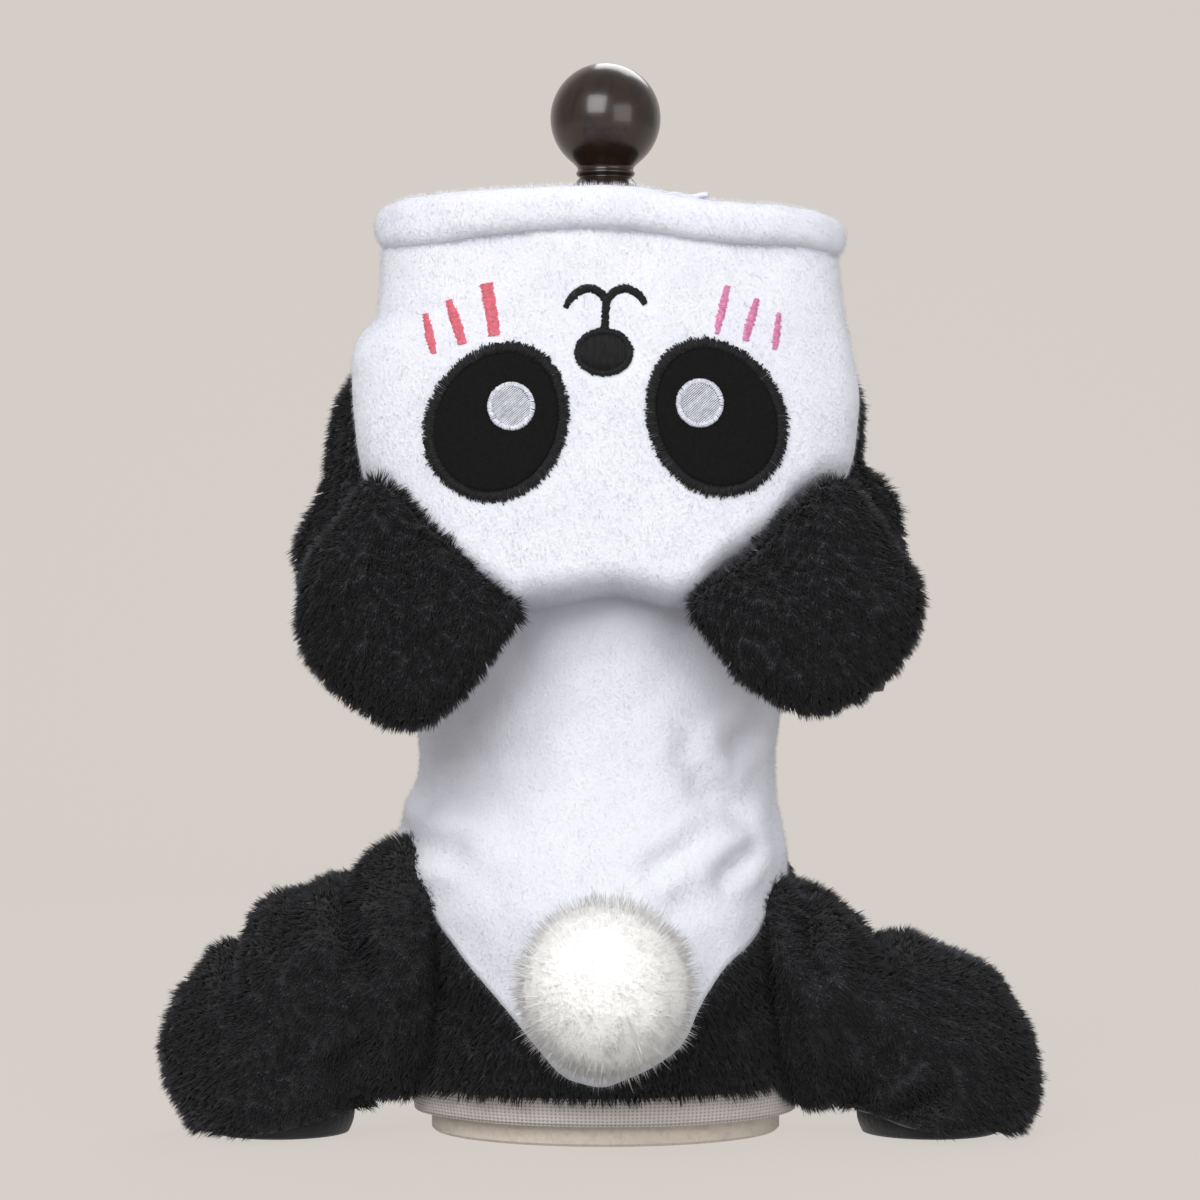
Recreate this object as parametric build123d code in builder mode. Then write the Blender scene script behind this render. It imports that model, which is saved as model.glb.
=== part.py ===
from build123d import *

import os
from math import hypot, sqrt

# A hooded, four-legged plush panda suit for a small dog, dressed on a knit-covered display form
# with a turned wooden ball on its neck.  The hood is down: it hangs upside down over the suit's
# back, so the panda's face shows there with the mouth above the eyes.
#
# Frame: millimetres, +Z up, the suit's back and the hanging hood towards -Y, +X to the right.
# The origin is the middle of the base board's underside.  Left and right are those of someone
# who looks along +Y.  Paired pieces are drawn on the right (+X) and mirrored for the left.

os.makedirs("parts", exist_ok=True)

# ---------------------------------------------------------------- driving dimensions
# Display form
FORM_HEIGHT = 327.0          # base board's top to the neck's rim
FORM_HALF_WIDTH = 70.0       # at the foot of the torso
FORM_HALF_DEPTH = 58.0
NECK_RADIUS = 29.0
NECK_SWELL = 3.5             # where the shoulders run into the neck
FORM_WALL = 4.0              # moulded torso shell
KNIT = 1.2                   # stretch knit over the shell
LAYER_GAP = 0.05             # between curved layers that lie on each other
BASE_THICKNESS = 8.0
BASE_INSET = 7.0             # base board's edge behind the knit

# Neck cap and finial
CAP_THICKNESS = 10.0
CAP_OVERHANG = 1.5
STUD_RADIUS = 4.0
STUD_RUNNING_GAP = 0.05      # radial, knob on stud
STUD_IN_KNOB = 20.0
STUD_BELOW_CAP = 14.0
NUT_FLATS = 13.0
NUT_HEIGHT = 6.5
KNOB_BALL_RADIUS = 20.4
KNOB_WAIST_RADIUS = 10.4
KNOB_FOOT_RADIUS = 12.8
KNOB_HEIGHT = 48.3
KNOB_WAIST_HEIGHT = 9.5      # above its foot
KNOB_FOOT_BAND = 2.5
KNOB_WAIST_BAND = 1.5
KNOB_SEAT_GAP = 0.3

# Suit
PLUSH = 4.0                  # pile and backing of one layer
EASE_SIDE = 4.0              # least slack between knit and suit, left and right
EASE_BACK = 5.0              # the same, front and back
HEM_HEIGHT = 19.0            # lower edge above the table
COLLAR_HEIGHT = 16.0
COLLAR_BELOW_NECK = 17.0     # its lower edge below the form's neck
COLLAR_SWELL = 2.5
RUMP_TOP = 108.0             # black fabric reaches this high at the sides
TAIL_TIP_HALF_WIDTH = 9.0    # blunt tip of the white back
TAIL_TIP_HEIGHT = 25.0
SHOULDER_SEAM_X = 46.0
SHOULDER_SEAM_Z = 232.0
PLACKET_HALF_WIDTH = 9.0
PLACKET_THICKNESS = 2.5
SNAP_RADIUS = 5.0
SNAP_THICKNESS = 1.6
SNAP_COUNT = 5

# Hood
HOOD_BELOW_NECK = 10.0       # face's top edge below the form's neck
HOOD_TOP_HALF_WIDTH = 82.0
HOOD_HALF_WIDTH = 91.0
HOOD_DROP = 136.0            # top edge to the lower corners
HOOD_SEAM_DROP = 87.0        # top edge to the ears' outer ends
HOOD_CORNER_X = 31.0         # ears' inner ends
HOOD_SEAM_X = 86.0           # ears' outer ends
HOOD_ARCH = 6.0              # lower edge's rise in the middle
HOOD_BULGE = 31.0            # face's middle in front of the back layer
HOOD_FACE_RADIUS = 176.0
HOOD_LINING = 1.5
HOOD_CLEARANCE = 2.5         # hood's back layer behind the suit's back
BRIM_HEIGHT = 20.0
BRIM_PROUD = 6.0
BRIM_DEPTH = 15.0
NAPE_START = 5.0             # gusset's lower face above the collar's lower edge
NAPE_BELOW_HINGE = 3.0
NAPE_GAP = 0.4               # gusset to the hood's back layer
NAPE_SPREAD = 0.9            # its half width as a share of the collar's depth
HEM_LAP = 3.0                # brim reaches this far below the face's top edge

# Face, front view, measured from the hood's top edge
EYE_X = 37.8
EYE_DROP = 66.5
EYE_LONG = 28.8
EYE_SHORT = 23.2
EYE_TILT = 27.0
STITCH_RIM = 4.0
FELT = 1.2
STITCH = 1.4
PUPIL_RADIUS = 9.0
PUPIL_X = 32.8
PUPIL_DROP = 62.0
NOSE_DROP = 43.5
NOSE_HALF_WIDTH = 10.2
NOSE_HALF_HEIGHT = 8.4
MOUTH_DROP = 25.0
MOUTH_HALF_WIDTH = 13.4
MOUTH_LINE = 2.8
STRIPE_CENTRES = ((39.6, 27.5), (52.3, 31.5), (61.6, 34.5))
STRIPE_LENGTHS = (18.0, 15.5, 13.5)
STRIPE_WIDTHS = (4.4, 3.8, 3.0)
STRIPE_TILTS = (8.0, 12.0, 9.0)

# Ears
EAR_HALF_WIDTH = 43.0
EAR_HALF_LENGTH = 46.0
EAR_SEAM_SHIFT = 18.0        # ear's middle below its seam
EAR_THICKNESS = 24.0
EAR_EDGE = 9.0
EAR_FRONT = 3.0              # ear's front ahead of the face's middle
EAR_GAP = 0.6

# Sleeves
SLEEVE_WALL = 3.5
SLEEVE_GAP = 0.8
SLEEVE_Y = -8.0
SLEEVE_BOTTOM = 172.0
SLEEVE_CUFF_HEIGHT = 11.0
SLEEVE_STATIONS = (          # share of the sleeve's height, half width, half depth
    (0.00, 18.0, 22.0),
    (0.30, 22.5, 26.0),
    (0.60, 17.5, 25.0),
    (0.86, 12.5, 21.0),
    (1.00, 5.0, 12.0),
)
SLEEVE_LENGTH = 112.0

# Hind legs
LEG_WALL = 4.5
HIP_SHARE = 0.86             # leg's inner end as a share of the form's half width
LEG_GAP = 0.8
LEG_BOTTOM_GAP = 0.5         # cuff above the table
LEG_REACH = 154.0            # foot's tip from the middle
LEG_STATIONS = (             # share of the way from hip to tip, z, half height, y, half depth
    (0.00, 62.0, 40.0, -6.0, 42.0),
    (0.30, 55.0, 42.0, -12.0, 42.0),
    (0.62, 45.0, 42.0, -16.0, 40.0),
    (0.88, 37.0, 30.0, -16.0, 30.0),
    (1.00, 35.0, 12.0, -16.0, 14.0),
)
LEG_CUFF_SHARE = 0.62
LEG_CUFF_RADIUS = 29.0
LEG_CUFF_WALL = 3.5
LEG_CUFF_HEIGHT = 14.0

# Tail
POMPOM_RADIUS = 32.5
POMPOM_Z = 61.0
POMPOM_SINK = 8.0            # how much of the ball its flat back takes
TAIL_GAP = 3.0               # room between the suit and the ball's flat back
TIE_RADIUS = 6.0
KNOT_RADIUS = 7.0
KNOT_LENGTH = 12.0
TIE_RISE_SHARE = 0.72        # tie's height on the ball's flat back, as a share of its radius

# ---------------------------------------------------------------- worked-out places
NECK_TOP = BASE_THICKNESS + FORM_HEIGHT
CAP_TOP = NECK_TOP + CAP_THICKNESS
HOOD_TOP = NECK_TOP - HOOD_BELOW_NECK
HOOD_LOW = HOOD_TOP - HOOD_DROP
COLLAR_BOTTOM = NECK_TOP - COLLAR_BELOW_NECK
TALL = 2.0 * FORM_HEIGHT     # longer than any cut needs
FRONT = Plane.XZ             # local x is +X, local y is +Z, and its normal is -Y

# Horizontal ovals of the torso: share of the form's height, half width and half depth as
# shares of the form's, then the suit's extra slack at the sides and at the back.
TORSO_STATIONS = (
    (0.00, 1.00, 1.00, 0.0, 1.0),
    (0.16, 0.94, 0.97, 1.0, 3.0),
    (0.30, 0.86, 0.90, 2.0, 2.0),
    (0.38, 0.81, 0.84, 0.0, 0.0),
    (0.57, 0.83, 0.83, 0.0, 0.0),
    (0.78, 0.80, 0.80, 0.0, 0.0),
    (0.90, 0.66, 0.69, 0.0, 0.0),
)


def torso_levels(grow, suit=False):
    """Ovals (z, half width, half depth) of the torso, grown; a suit's have its slack too."""
    levels = []
    for share, wide, deep, slack_side, slack_back in TORSO_STATIONS:
        half_width = FORM_HALF_WIDTH * wide + grow
        half_depth = FORM_HALF_DEPTH * deep + grow
        if suit:
            half_width += EASE_SIDE + slack_side
            half_depth += EASE_BACK + slack_back
        levels.append((BASE_THICKNESS + share * FORM_HEIGHT, half_width, half_depth))
    for share, swell in ((0.96, NECK_SWELL), (1.0, 0.0)):
        radius = NECK_RADIUS + swell + grow
        side, back = (EASE_SIDE, EASE_BACK) if suit else (0.0, 0.0)
        levels.append((BASE_THICKNESS + share * FORM_HEIGHT, radius + side, radius + back))
    return levels


def oval_stack(levels):
    """Loft straight from one horizontal oval about the Z axis to the next."""
    with BuildPart() as stack:
        for height, half_width, half_depth in levels:
            with BuildSketch(Plane.XY.offset(height)):
                Ellipse(half_width, half_depth)
        loft(ruled=True)
    return stack.part


form_outer = oval_stack(torso_levels(0.0))
form_inner = oval_stack(torso_levels(-FORM_WALL))
knit_outer = oval_stack(torso_levels(KNIT))
suit_inner = oval_stack(torso_levels(KNIT, suit=True))
suit_outer = oval_stack(torso_levels(KNIT + PLUSH, suit=True))
suit_depths = [level[2] for level in torso_levels(KNIT + PLUSH, suit=True)]
suit_widths = [level[1] for level in torso_levels(KNIT + PLUSH, suit=True)]


def save(piece, name):
    """Label a finished piece and write its STEP file."""
    piece.part.label = name
    export_step(piece.part, f"parts/{name}.step")


# ================================================================ display form
with BuildPart() as base_board:
    with BuildSketch():
        Ellipse(FORM_HALF_WIDTH + KNIT - BASE_INSET, FORM_HALF_DEPTH + KNIT - BASE_INSET)
    extrude(amount=BASE_THICKNESS)
    chamfer(base_board.faces().sort_by(Axis.Z)[0].edges(), 1.0)
save(base_board, "base_board")

with BuildPart() as torso_shell:
    add(form_outer)
    add(form_inner, mode=Mode.SUBTRACT)
save(torso_shell, "torso_shell")

with BuildPart() as torso_knit:
    add(knit_outer)
    add(oval_stack(torso_levels(LAYER_GAP)), mode=Mode.SUBTRACT)
save(torso_knit, "torso_knit")

with BuildPart() as neck_cap:
    with BuildSketch(Plane.XY.offset(NECK_TOP)):
        Circle(NECK_RADIUS + CAP_OVERHANG)
        Circle(STUD_RADIUS, mode=Mode.SUBTRACT)
    extrude(amount=CAP_THICKNESS)
    rim = neck_cap.faces().sort_by(Axis.Z)[-1].outer_wire().edges()
    fillet(rim, 0.4 * CAP_THICKNESS)
save(neck_cap, "neck_cap")

with BuildPart() as finial_stud:
    with BuildSketch(Plane.XY.offset(NECK_TOP - STUD_BELOW_CAP)):
        Circle(STUD_RADIUS)
    extrude(amount=STUD_BELOW_CAP + CAP_THICKNESS + STUD_IN_KNOB)
    chamfer(finial_stud.edges().sort_by(Axis.Z)[-1], 0.6)
save(finial_stud, "finial_stud")

with BuildPart() as stud_nut:
    with BuildSketch(Plane.XY.offset(NECK_TOP - NUT_HEIGHT)):
        RegularPolygon(NUT_FLATS / 2, 6, major_radius=False)
        Circle(STUD_RADIUS, mode=Mode.SUBTRACT)
    extrude(amount=NUT_HEIGHT)
save(stud_nut, "stud_nut")

# The knob's profile climbs from a flared foot through a waist into the ball.
knob_foot = CAP_TOP + KNOB_SEAT_GAP
knob_top = knob_foot + KNOB_HEIGHT
ball_centre = knob_top - KNOB_BALL_RADIUS
waist_z = knob_foot + KNOB_WAIST_HEIGHT
ball_side = sqrt(0.5) * KNOB_BALL_RADIUS
with BuildPart() as finial_knob:
    with BuildSketch(Plane.XZ):
        with BuildLine():
            Polyline((0, knob_top), (0, knob_foot), (KNOB_FOOT_RADIUS, knob_foot),
                     (KNOB_FOOT_RADIUS, knob_foot + KNOB_FOOT_BAND),
                     (KNOB_WAIST_RADIUS, waist_z - KNOB_WAIST_BAND),
                     (KNOB_WAIST_RADIUS, waist_z))
            ThreePointArc((KNOB_WAIST_RADIUS, waist_z), (0.5 * (KNOB_WAIST_RADIUS + ball_side) + 0.4,
                          0.5 * (waist_z + ball_centre - ball_side) - 0.6),
                          (ball_side, ball_centre - ball_side))
            ThreePointArc((ball_side, ball_centre - ball_side), (KNOB_BALL_RADIUS, ball_centre),
                          (0, knob_top))
        make_face()
    revolve(axis=Axis.Z)
    with BuildSketch(Plane.XY.offset(knob_foot)):
        Circle(STUD_RADIUS + STUD_RUNNING_GAP)
    extrude(amount=STUD_IN_KNOB + 1.0, mode=Mode.SUBTRACT)
save(finial_knob, "finial_knob")

# ================================================================ suit's body
with BuildPart() as suit_tube:
    add(suit_outer)
    add(suit_inner, mode=Mode.SUBTRACT)
    split(bisect_by=Plane.XY.offset(HEM_HEIGHT), keep=Keep.TOP)
    split(bisect_by=Plane.XY.offset(COLLAR_BOTTOM), keep=Keep.BOTTOM)

# The white back narrows from the hips to a blunt tip at the tail, all on the -Y side.
side_reach = 2.0 * FORM_HALF_WIDTH
seam_slope = (RUMP_TOP - TAIL_TIP_HEIGHT) / (max(suit_widths) - TAIL_TIP_HALF_WIDTH)
seam_rise = TAIL_TIP_HEIGHT + seam_slope * (side_reach - TAIL_TIP_HALF_WIDTH)
with BuildPart() as back_region:
    with BuildSketch(FRONT):
        with BuildLine():
            Polyline((-TAIL_TIP_HALF_WIDTH, TAIL_TIP_HEIGHT), (TAIL_TIP_HALF_WIDTH, TAIL_TIP_HEIGHT),
                     (side_reach, seam_rise), (side_reach, TALL), (-side_reach, TALL),
                     (-side_reach, seam_rise), close=True)
        make_face()
    extrude(amount=side_reach)

with BuildPart() as shoulder_region:
    with BuildSketch(Plane.XY.offset(SHOULDER_SEAM_Z)):
        Rectangle(2 * side_reach, 2 * side_reach)
        Rectangle(2 * SHOULDER_SEAM_X, 2 * side_reach, mode=Mode.SUBTRACT)
    extrude(amount=TALL)

with BuildPart() as belly_region:
    with BuildSketch(Plane.XY.offset(RUMP_TOP)):
        with Locations((0, side_reach / 2)):
            Rectangle(2 * side_reach, side_reach)
    extrude(amount=TALL)

with BuildPart() as back_panel:
    add(suit_tube.part)
    add(back_region.part, mode=Mode.INTERSECT)
    add(shoulder_region.part, mode=Mode.SUBTRACT)
save(back_panel, "back_panel")

with BuildPart() as right_belly_panel:
    add(suit_tube.part)
    add(belly_region.part, mode=Mode.INTERSECT)
    add(shoulder_region.part, mode=Mode.SUBTRACT)
    split(bisect_by=Plane.YZ, keep=Keep.TOP)
save(right_belly_panel, "right_belly_panel")

with BuildPart() as right_shoulder_panel:
    add(suit_tube.part)
    add(shoulder_region.part, mode=Mode.INTERSECT)
    split(bisect_by=Plane.YZ, keep=Keep.TOP)
save(right_shoulder_panel, "right_shoulder_panel")

with BuildPart() as right_rump_panel:
    add(suit_tube.part)
    add(back_region.part, mode=Mode.SUBTRACT)
    add(belly_region.part, mode=Mode.SUBTRACT)
    split(bisect_by=Plane.YZ, keep=Keep.TOP)
save(right_rump_panel, "right_rump_panel")

for right_piece, name in ((right_belly_panel, "left_belly_panel"),
                          (right_shoulder_panel, "left_shoulder_panel"),
                          (right_rump_panel, "left_rump_panel")):
    with BuildPart() as left_piece:
        add(right_piece.part)
        mirror(about=Plane.YZ, mode=Mode.REPLACE)
    save(left_piece, name)

collar_outer = oval_stack(torso_levels(KNIT + PLUSH + COLLAR_SWELL, suit=True))
with BuildPart() as collar:
    add(collar_outer)
    add(suit_inner, mode=Mode.SUBTRACT)
    split(bisect_by=Plane.XY.offset(COLLAR_BOTTOM), keep=Keep.TOP)
    split(bisect_by=Plane.XY.offset(COLLAR_BOTTOM + COLLAR_HEIGHT), keep=Keep.BOTTOM)
save(collar, "collar")

# The belly closes with a strip of plush over the joint and snaps through it.
placket_inner = oval_stack(torso_levels(KNIT + PLUSH + LAYER_GAP, suit=True))
placket_lift = KNIT + PLUSH + PLACKET_THICKNESS
placket_outer = oval_stack(torso_levels(placket_lift, suit=True))
snap_seat = oval_stack(torso_levels(placket_lift + LAYER_GAP, suit=True))
snap_outer = oval_stack(torso_levels(placket_lift + SNAP_THICKNESS, suit=True))
socket_seat = oval_stack(torso_levels(KNIT - LAYER_GAP, suit=True))
socket_inner = oval_stack(torso_levels(KNIT - SNAP_THICKNESS, suit=True))
placket_low = RUMP_TOP + 4.0
placket_high = COLLAR_BOTTOM - COLLAR_SWELL - 2.0
with BuildPart() as belly_placket:
    with BuildSketch(Plane.XY.offset(placket_low)):
        with Locations((0, side_reach / 2)):
            Rectangle(2 * PLACKET_HALF_WIDTH, side_reach)
    extrude(amount=placket_high - placket_low)
    add(placket_outer, mode=Mode.INTERSECT)
    add(placket_inner, mode=Mode.SUBTRACT)
save(belly_placket, "belly_placket")

snap_pitch = (placket_high - placket_low) / SNAP_COUNT
snap_heights = [placket_low + snap_pitch * (index + 0.5) for index in range(SNAP_COUNT)]
for name, layer_outer, layer_inner in (("snap_caps", snap_outer, snap_seat),
                                       ("snap_sockets", socket_seat, socket_inner)):
    with BuildPart() as snaps:
        with BuildSketch(Plane.XZ):
            with Locations(*[(0, height) for height in snap_heights]):
                Circle(SNAP_RADIUS)
        extrude(amount=-side_reach)
        add(layer_outer, mode=Mode.INTERSECT)
        add(layer_inner, mode=Mode.SUBTRACT)
    save(snaps, name)

# ================================================================ hood
# In plan the hood is a flat back layer and a face bent to one radius about a vertical axis.
hood_back_y = -(max(suit_depths[3:]) + HOOD_CLEARANCE)
hood_front_y = hood_back_y - HOOD_BULGE
face_axis_y = hood_front_y + HOOD_FACE_RADIUS
brim_bottom = HOOD_TOP - HEM_LAP
hood_seam_z = HOOD_TOP - HOOD_SEAM_DROP
seam_run = HOOD_SEAM_X - HOOD_CORNER_X
seam_fall = hood_seam_z - HOOD_LOW
widest_z = 0.5 * (HOOD_TOP + hood_seam_z)

with BuildSketch(FRONT) as hood_outline:
    with BuildLine():
        Line((HOOD_TOP_HALF_WIDTH, HOOD_TOP), (-HOOD_TOP_HALF_WIDTH, HOOD_TOP))
        ThreePointArc((-HOOD_TOP_HALF_WIDTH, HOOD_TOP), (-HOOD_HALF_WIDTH, widest_z),
                      (-HOOD_SEAM_X, hood_seam_z))
        Line((-HOOD_SEAM_X, hood_seam_z), (-HOOD_CORNER_X, HOOD_LOW))
        ThreePointArc((-HOOD_CORNER_X, HOOD_LOW), (0, HOOD_LOW + HOOD_ARCH), (HOOD_CORNER_X, HOOD_LOW))
        Line((HOOD_CORNER_X, HOOD_LOW), (HOOD_SEAM_X, hood_seam_z))
        ThreePointArc((HOOD_SEAM_X, hood_seam_z), (HOOD_HALF_WIDTH, widest_z),
                      (HOOD_TOP_HALF_WIDTH, HOOD_TOP))
    make_face()


def bent_layer(outline, inner_lift, outer_lift, deep=False):
    """Part of a layer bent like the hood's face that lies inside a front-view outline.

    The lifts are the layer's inner and outer distance in front of the face; a deep one
    reaches back without end.
    """
    with BuildPart() as layer:
        with BuildSketch(Plane.XY):
            with Locations((0, face_axis_y)):
                Circle(HOOD_FACE_RADIUS + outer_lift)
                if not deep:
                    Circle(HOOD_FACE_RADIUS + inner_lift, mode=Mode.SUBTRACT)
        extrude(amount=TALL)
        with BuildSketch(FRONT):
            add(outline)
        extrude(amount=side_reach, mode=Mode.INTERSECT)
    return layer.part


with BuildSketch(FRONT) as pouch_outline:
    add(hood_outline.sketch)
    offset(amount=-PLUSH)
    with Locations((0, HOOD_TOP)):
        Rectangle(2 * (HOOD_TOP_HALF_WIDTH - PLUSH), 3 * PLUSH)

hood_solid = bent_layer(hood_outline.sketch, 0, 0, deep=True)
pouch_solid = bent_layer(pouch_outline.sketch, 0, -PLUSH, deep=True)

with BuildPart() as back_half_space:
    with BuildSketch(Plane.XY.offset(-1)):
        with Locations((0, hood_back_y - PLUSH + side_reach)):
            Rectangle(2 * side_reach, 2 * side_reach)
    extrude(amount=TALL)

with BuildPart() as hood_face:
    add(hood_solid)
    add(pouch_solid, mode=Mode.SUBTRACT)
    add(back_half_space.part, mode=Mode.SUBTRACT)
save(hood_face, "hood_face")

with BuildPart() as hood_lining:
    add(bent_layer(pouch_outline.sketch, -PLUSH - HOOD_LINING, -PLUSH))
    add(back_half_space.part, mode=Mode.SUBTRACT)
    split(bisect_by=Plane.XY.offset(brim_bottom), keep=Keep.BOTTOM)
save(hood_lining, "hood_lining")

hood_hinge_z = CAP_TOP
with BuildPart() as hood_back:
    with BuildSketch(FRONT.offset(-hood_back_y)):
        add(hood_outline.sketch)
        with Locations((0, 0.5 * (HOOD_TOP + hood_hinge_z))):
            Rectangle(2 * (HOOD_TOP_HALF_WIDTH - BRIM_DEPTH), hood_hinge_z - HOOD_TOP + 2.0)
    extrude(amount=PLUSH)
    split(bisect_by=Plane.XY.offset(hood_hinge_z), keep=Keep.BOTTOM)
save(hood_back, "hood_back")

# The brim is a thick turned hem that stands proud of the face and turns in at both ends.
with BuildPart() as hood_brim:
    with BuildSketch(Plane.XY.offset(brim_bottom)):
        with Locations((0, face_axis_y)):
            Circle(HOOD_FACE_RADIUS + BRIM_PROUD)
        with Locations((0, hood_back_y - side_reach)):
            Rectangle(2 * (HOOD_TOP_HALF_WIDTH + BRIM_PROUD), 2 * side_reach, mode=Mode.INTERSECT)
        with Locations((0, face_axis_y)):
            inner_bend = Circle(HOOD_FACE_RADIUS + BRIM_PROUD - BRIM_DEPTH, mode=Mode.PRIVATE)
        with Locations((0, face_axis_y - side_reach)):
            inner_width = Rectangle(2 * (HOOD_TOP_HALF_WIDTH + BRIM_PROUD - BRIM_DEPTH),
                                    4 * side_reach, mode=Mode.PRIVATE)
        add(inner_bend & inner_width, mode=Mode.SUBTRACT)
    extrude(amount=BRIM_HEIGHT)
    add(hood_face.part, mode=Mode.SUBTRACT)
    add(hood_back.part, mode=Mode.SUBTRACT)
save(hood_brim, "hood_brim")

# A gusset of plush carries the hood's back layer from the collar.
collar_depth = NECK_RADIUS + NECK_SWELL + KNIT + EASE_BACK + PLUSH + COLLAR_SWELL
nape_low = COLLAR_BOTTOM + NAPE_START
nape_high = hood_hinge_z - NAPE_BELOW_HINGE
nape_y = hood_back_y + NAPE_GAP
with BuildPart() as nape_gusset:
    with BuildSketch(Plane.YZ):
        with BuildLine():
            Polyline((0, nape_low), (nape_y, nape_high - PLUSH), (nape_y, nape_high),
                     (0, nape_low + PLUSH), close=True)
        make_face()
    extrude(amount=NAPE_SPREAD * collar_depth, both=True)
    add(collar_outer, mode=Mode.SUBTRACT)
    split(bisect_by=Plane.XZ.offset(0.5 * collar_depth), keep=Keep.TOP)
save(nape_gusset, "nape_gusset")

# ---------------------------------------------------------------- face
with BuildSketch(FRONT) as eye_outline:
    with Locations(Location((EYE_X, HOOD_TOP - EYE_DROP, 0), (0, 0, EYE_TILT))):
        Ellipse(EYE_SHORT, EYE_LONG)
with BuildSketch(FRONT) as felt_outline:
    with Locations(Location((EYE_X, HOOD_TOP - EYE_DROP, 0), (0, 0, EYE_TILT))):
        Ellipse(EYE_SHORT - STITCH_RIM, EYE_LONG - STITCH_RIM)
with BuildSketch(FRONT) as rim_outline:
    add(eye_outline.sketch)
    add(felt_outline.sketch, mode=Mode.SUBTRACT)
with BuildSketch(FRONT) as pupil_outline:
    with Locations((PUPIL_X, HOOD_TOP - PUPIL_DROP)):
        Circle(PUPIL_RADIUS)
with BuildSketch(FRONT) as stripes_outline:
    for (across, drop), length, width, tilt in zip(STRIPE_CENTRES, STRIPE_LENGTHS,
                                                  STRIPE_WIDTHS, STRIPE_TILTS):
        with Locations(Location((across, HOOD_TOP - drop, 0), (0, 0, tilt))):
            RectangleRounded(width, length, 0.3 * width)

for outline, inner_lift, outer_lift, piece_name in (
        (felt_outline, 0.0, FELT, "eye_patch"),
        (rim_outline, 0.0, STITCH, "eye_rim"),
        (pupil_outline, FELT, FELT + STITCH, "pupil"),
        (stripes_outline, 0.0, STITCH, "cheek_stripes")):
    for side in ("right", "left"):
        layer = bent_layer(outline.sketch, inner_lift, outer_lift)
        with BuildPart() as face_piece:
            add(layer)
            if side == "left":
                mirror(about=Plane.YZ, mode=Mode.REPLACE)
        save(face_piece, f"{side}_{piece_name}")

with BuildSketch(FRONT) as nose_outline:
    with Locations((0, HOOD_TOP - NOSE_DROP)):
        Ellipse(NOSE_HALF_WIDTH, NOSE_HALF_HEIGHT)
with BuildPart() as nose:
    add(bent_layer(nose_outline.sketch, 0.0, STITCH))
save(nose, "nose")

# The mouth is a stem above the hanging nose that parts into two arcs.
mouth_fork_z = HOOD_TOP - MOUTH_DROP
stem_low = HOOD_TOP - NOSE_DROP + NOSE_HALF_HEIGHT
with BuildSketch(FRONT) as mouth_outline:
    with Locations((0, 0.5 * (stem_low + mouth_fork_z) + 0.2)):
        Rectangle(1.25 * MOUTH_LINE, mouth_fork_z - stem_low - 0.4)
    for way in (-1, 1):
        with BuildLine():
            lip = ThreePointArc((0, mouth_fork_z), (way * 0.5 * MOUTH_HALF_WIDTH, mouth_fork_z + 2.6),
                                (way * MOUTH_HALF_WIDTH, mouth_fork_z - 3.0))
            offset(lip, amount=0.5 * MOUTH_LINE)
        make_face()
with BuildPart() as mouth:
    add(bent_layer(mouth_outline.sketch, 0.0, STITCH))
save(mouth, "mouth")

# ================================================================ ears
# Each ear is a D-shaped cushion whose straight side is sewn along the hood's slanted edge.
seam_length = hypot(seam_run, seam_fall)
ear_front_y = hood_front_y - EAR_FRONT
seam_along = Vector(seam_run / seam_length, 0, seam_fall / seam_length)
seam_middle = Vector(0.5 * (HOOD_SEAM_X + HOOD_CORNER_X), 0, 0.5 * (hood_seam_z + HOOD_LOW))
seam_out = Vector(seam_along.Z, 0, -seam_along.X)
ear_origin = seam_middle + seam_out * EAR_GAP


def ear_plane(front_y):
    """Plane of an ear's drawing: local x along the seam, local y into the hood, normal -Y."""
    return Plane(origin=(ear_origin.X, front_y, ear_origin.Z), x_dir=seam_along, z_dir=(0, -1, 0))


def ear_cushion(inset):
    """The right ear's cushion, drawn in by an inset all round and rounded at its edges."""
    with BuildPart() as cushion:
        with BuildSketch(ear_plane(ear_front_y + EAR_THICKNESS - inset)):
            with Locations((0, -EAR_SEAM_SHIFT)):
                Ellipse(EAR_HALF_WIDTH - inset, EAR_HALF_LENGTH - inset)
            with Locations((0, EAR_HALF_LENGTH - inset)):
                Rectangle(3 * EAR_HALF_WIDTH, 2 * EAR_HALF_LENGTH, mode=Mode.SUBTRACT)
        extrude(amount=EAR_THICKNESS - 2 * inset)
        fillet(cushion.edges().filter_by(GeomType.ELLIPSE), EAR_EDGE - inset)
    return cushion.part


ear_whole = ear_cushion(0.0)
ear_filling = ear_cushion(PLUSH - 0.5)
ear_middle = Plane.XZ.offset(-(ear_front_y + 0.5 * EAR_THICKNESS))
for side in ("right", "left"):
    for piece_name, kept in (("ear_front", Keep.TOP), ("ear_back", Keep.BOTTOM)):
        with BuildPart() as ear_half:
            add(ear_whole)
            add(ear_filling, mode=Mode.SUBTRACT)
            split(bisect_by=ear_middle, keep=kept)
            if side == "left":
                mirror(about=Plane.YZ, mode=Mode.REPLACE)
        save(ear_half, f"{side}_{piece_name}")
    with BuildPart() as ear_stuffing:
        add(ear_filling)
        if side == "left":
            mirror(about=Plane.YZ, mode=Mode.REPLACE)
    save(ear_stuffing, f"{side}_ear_stuffing")

# ================================================================ sleeves
shoulder_x = max(suit_widths[3:]) + SLEEVE_GAP


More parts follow.
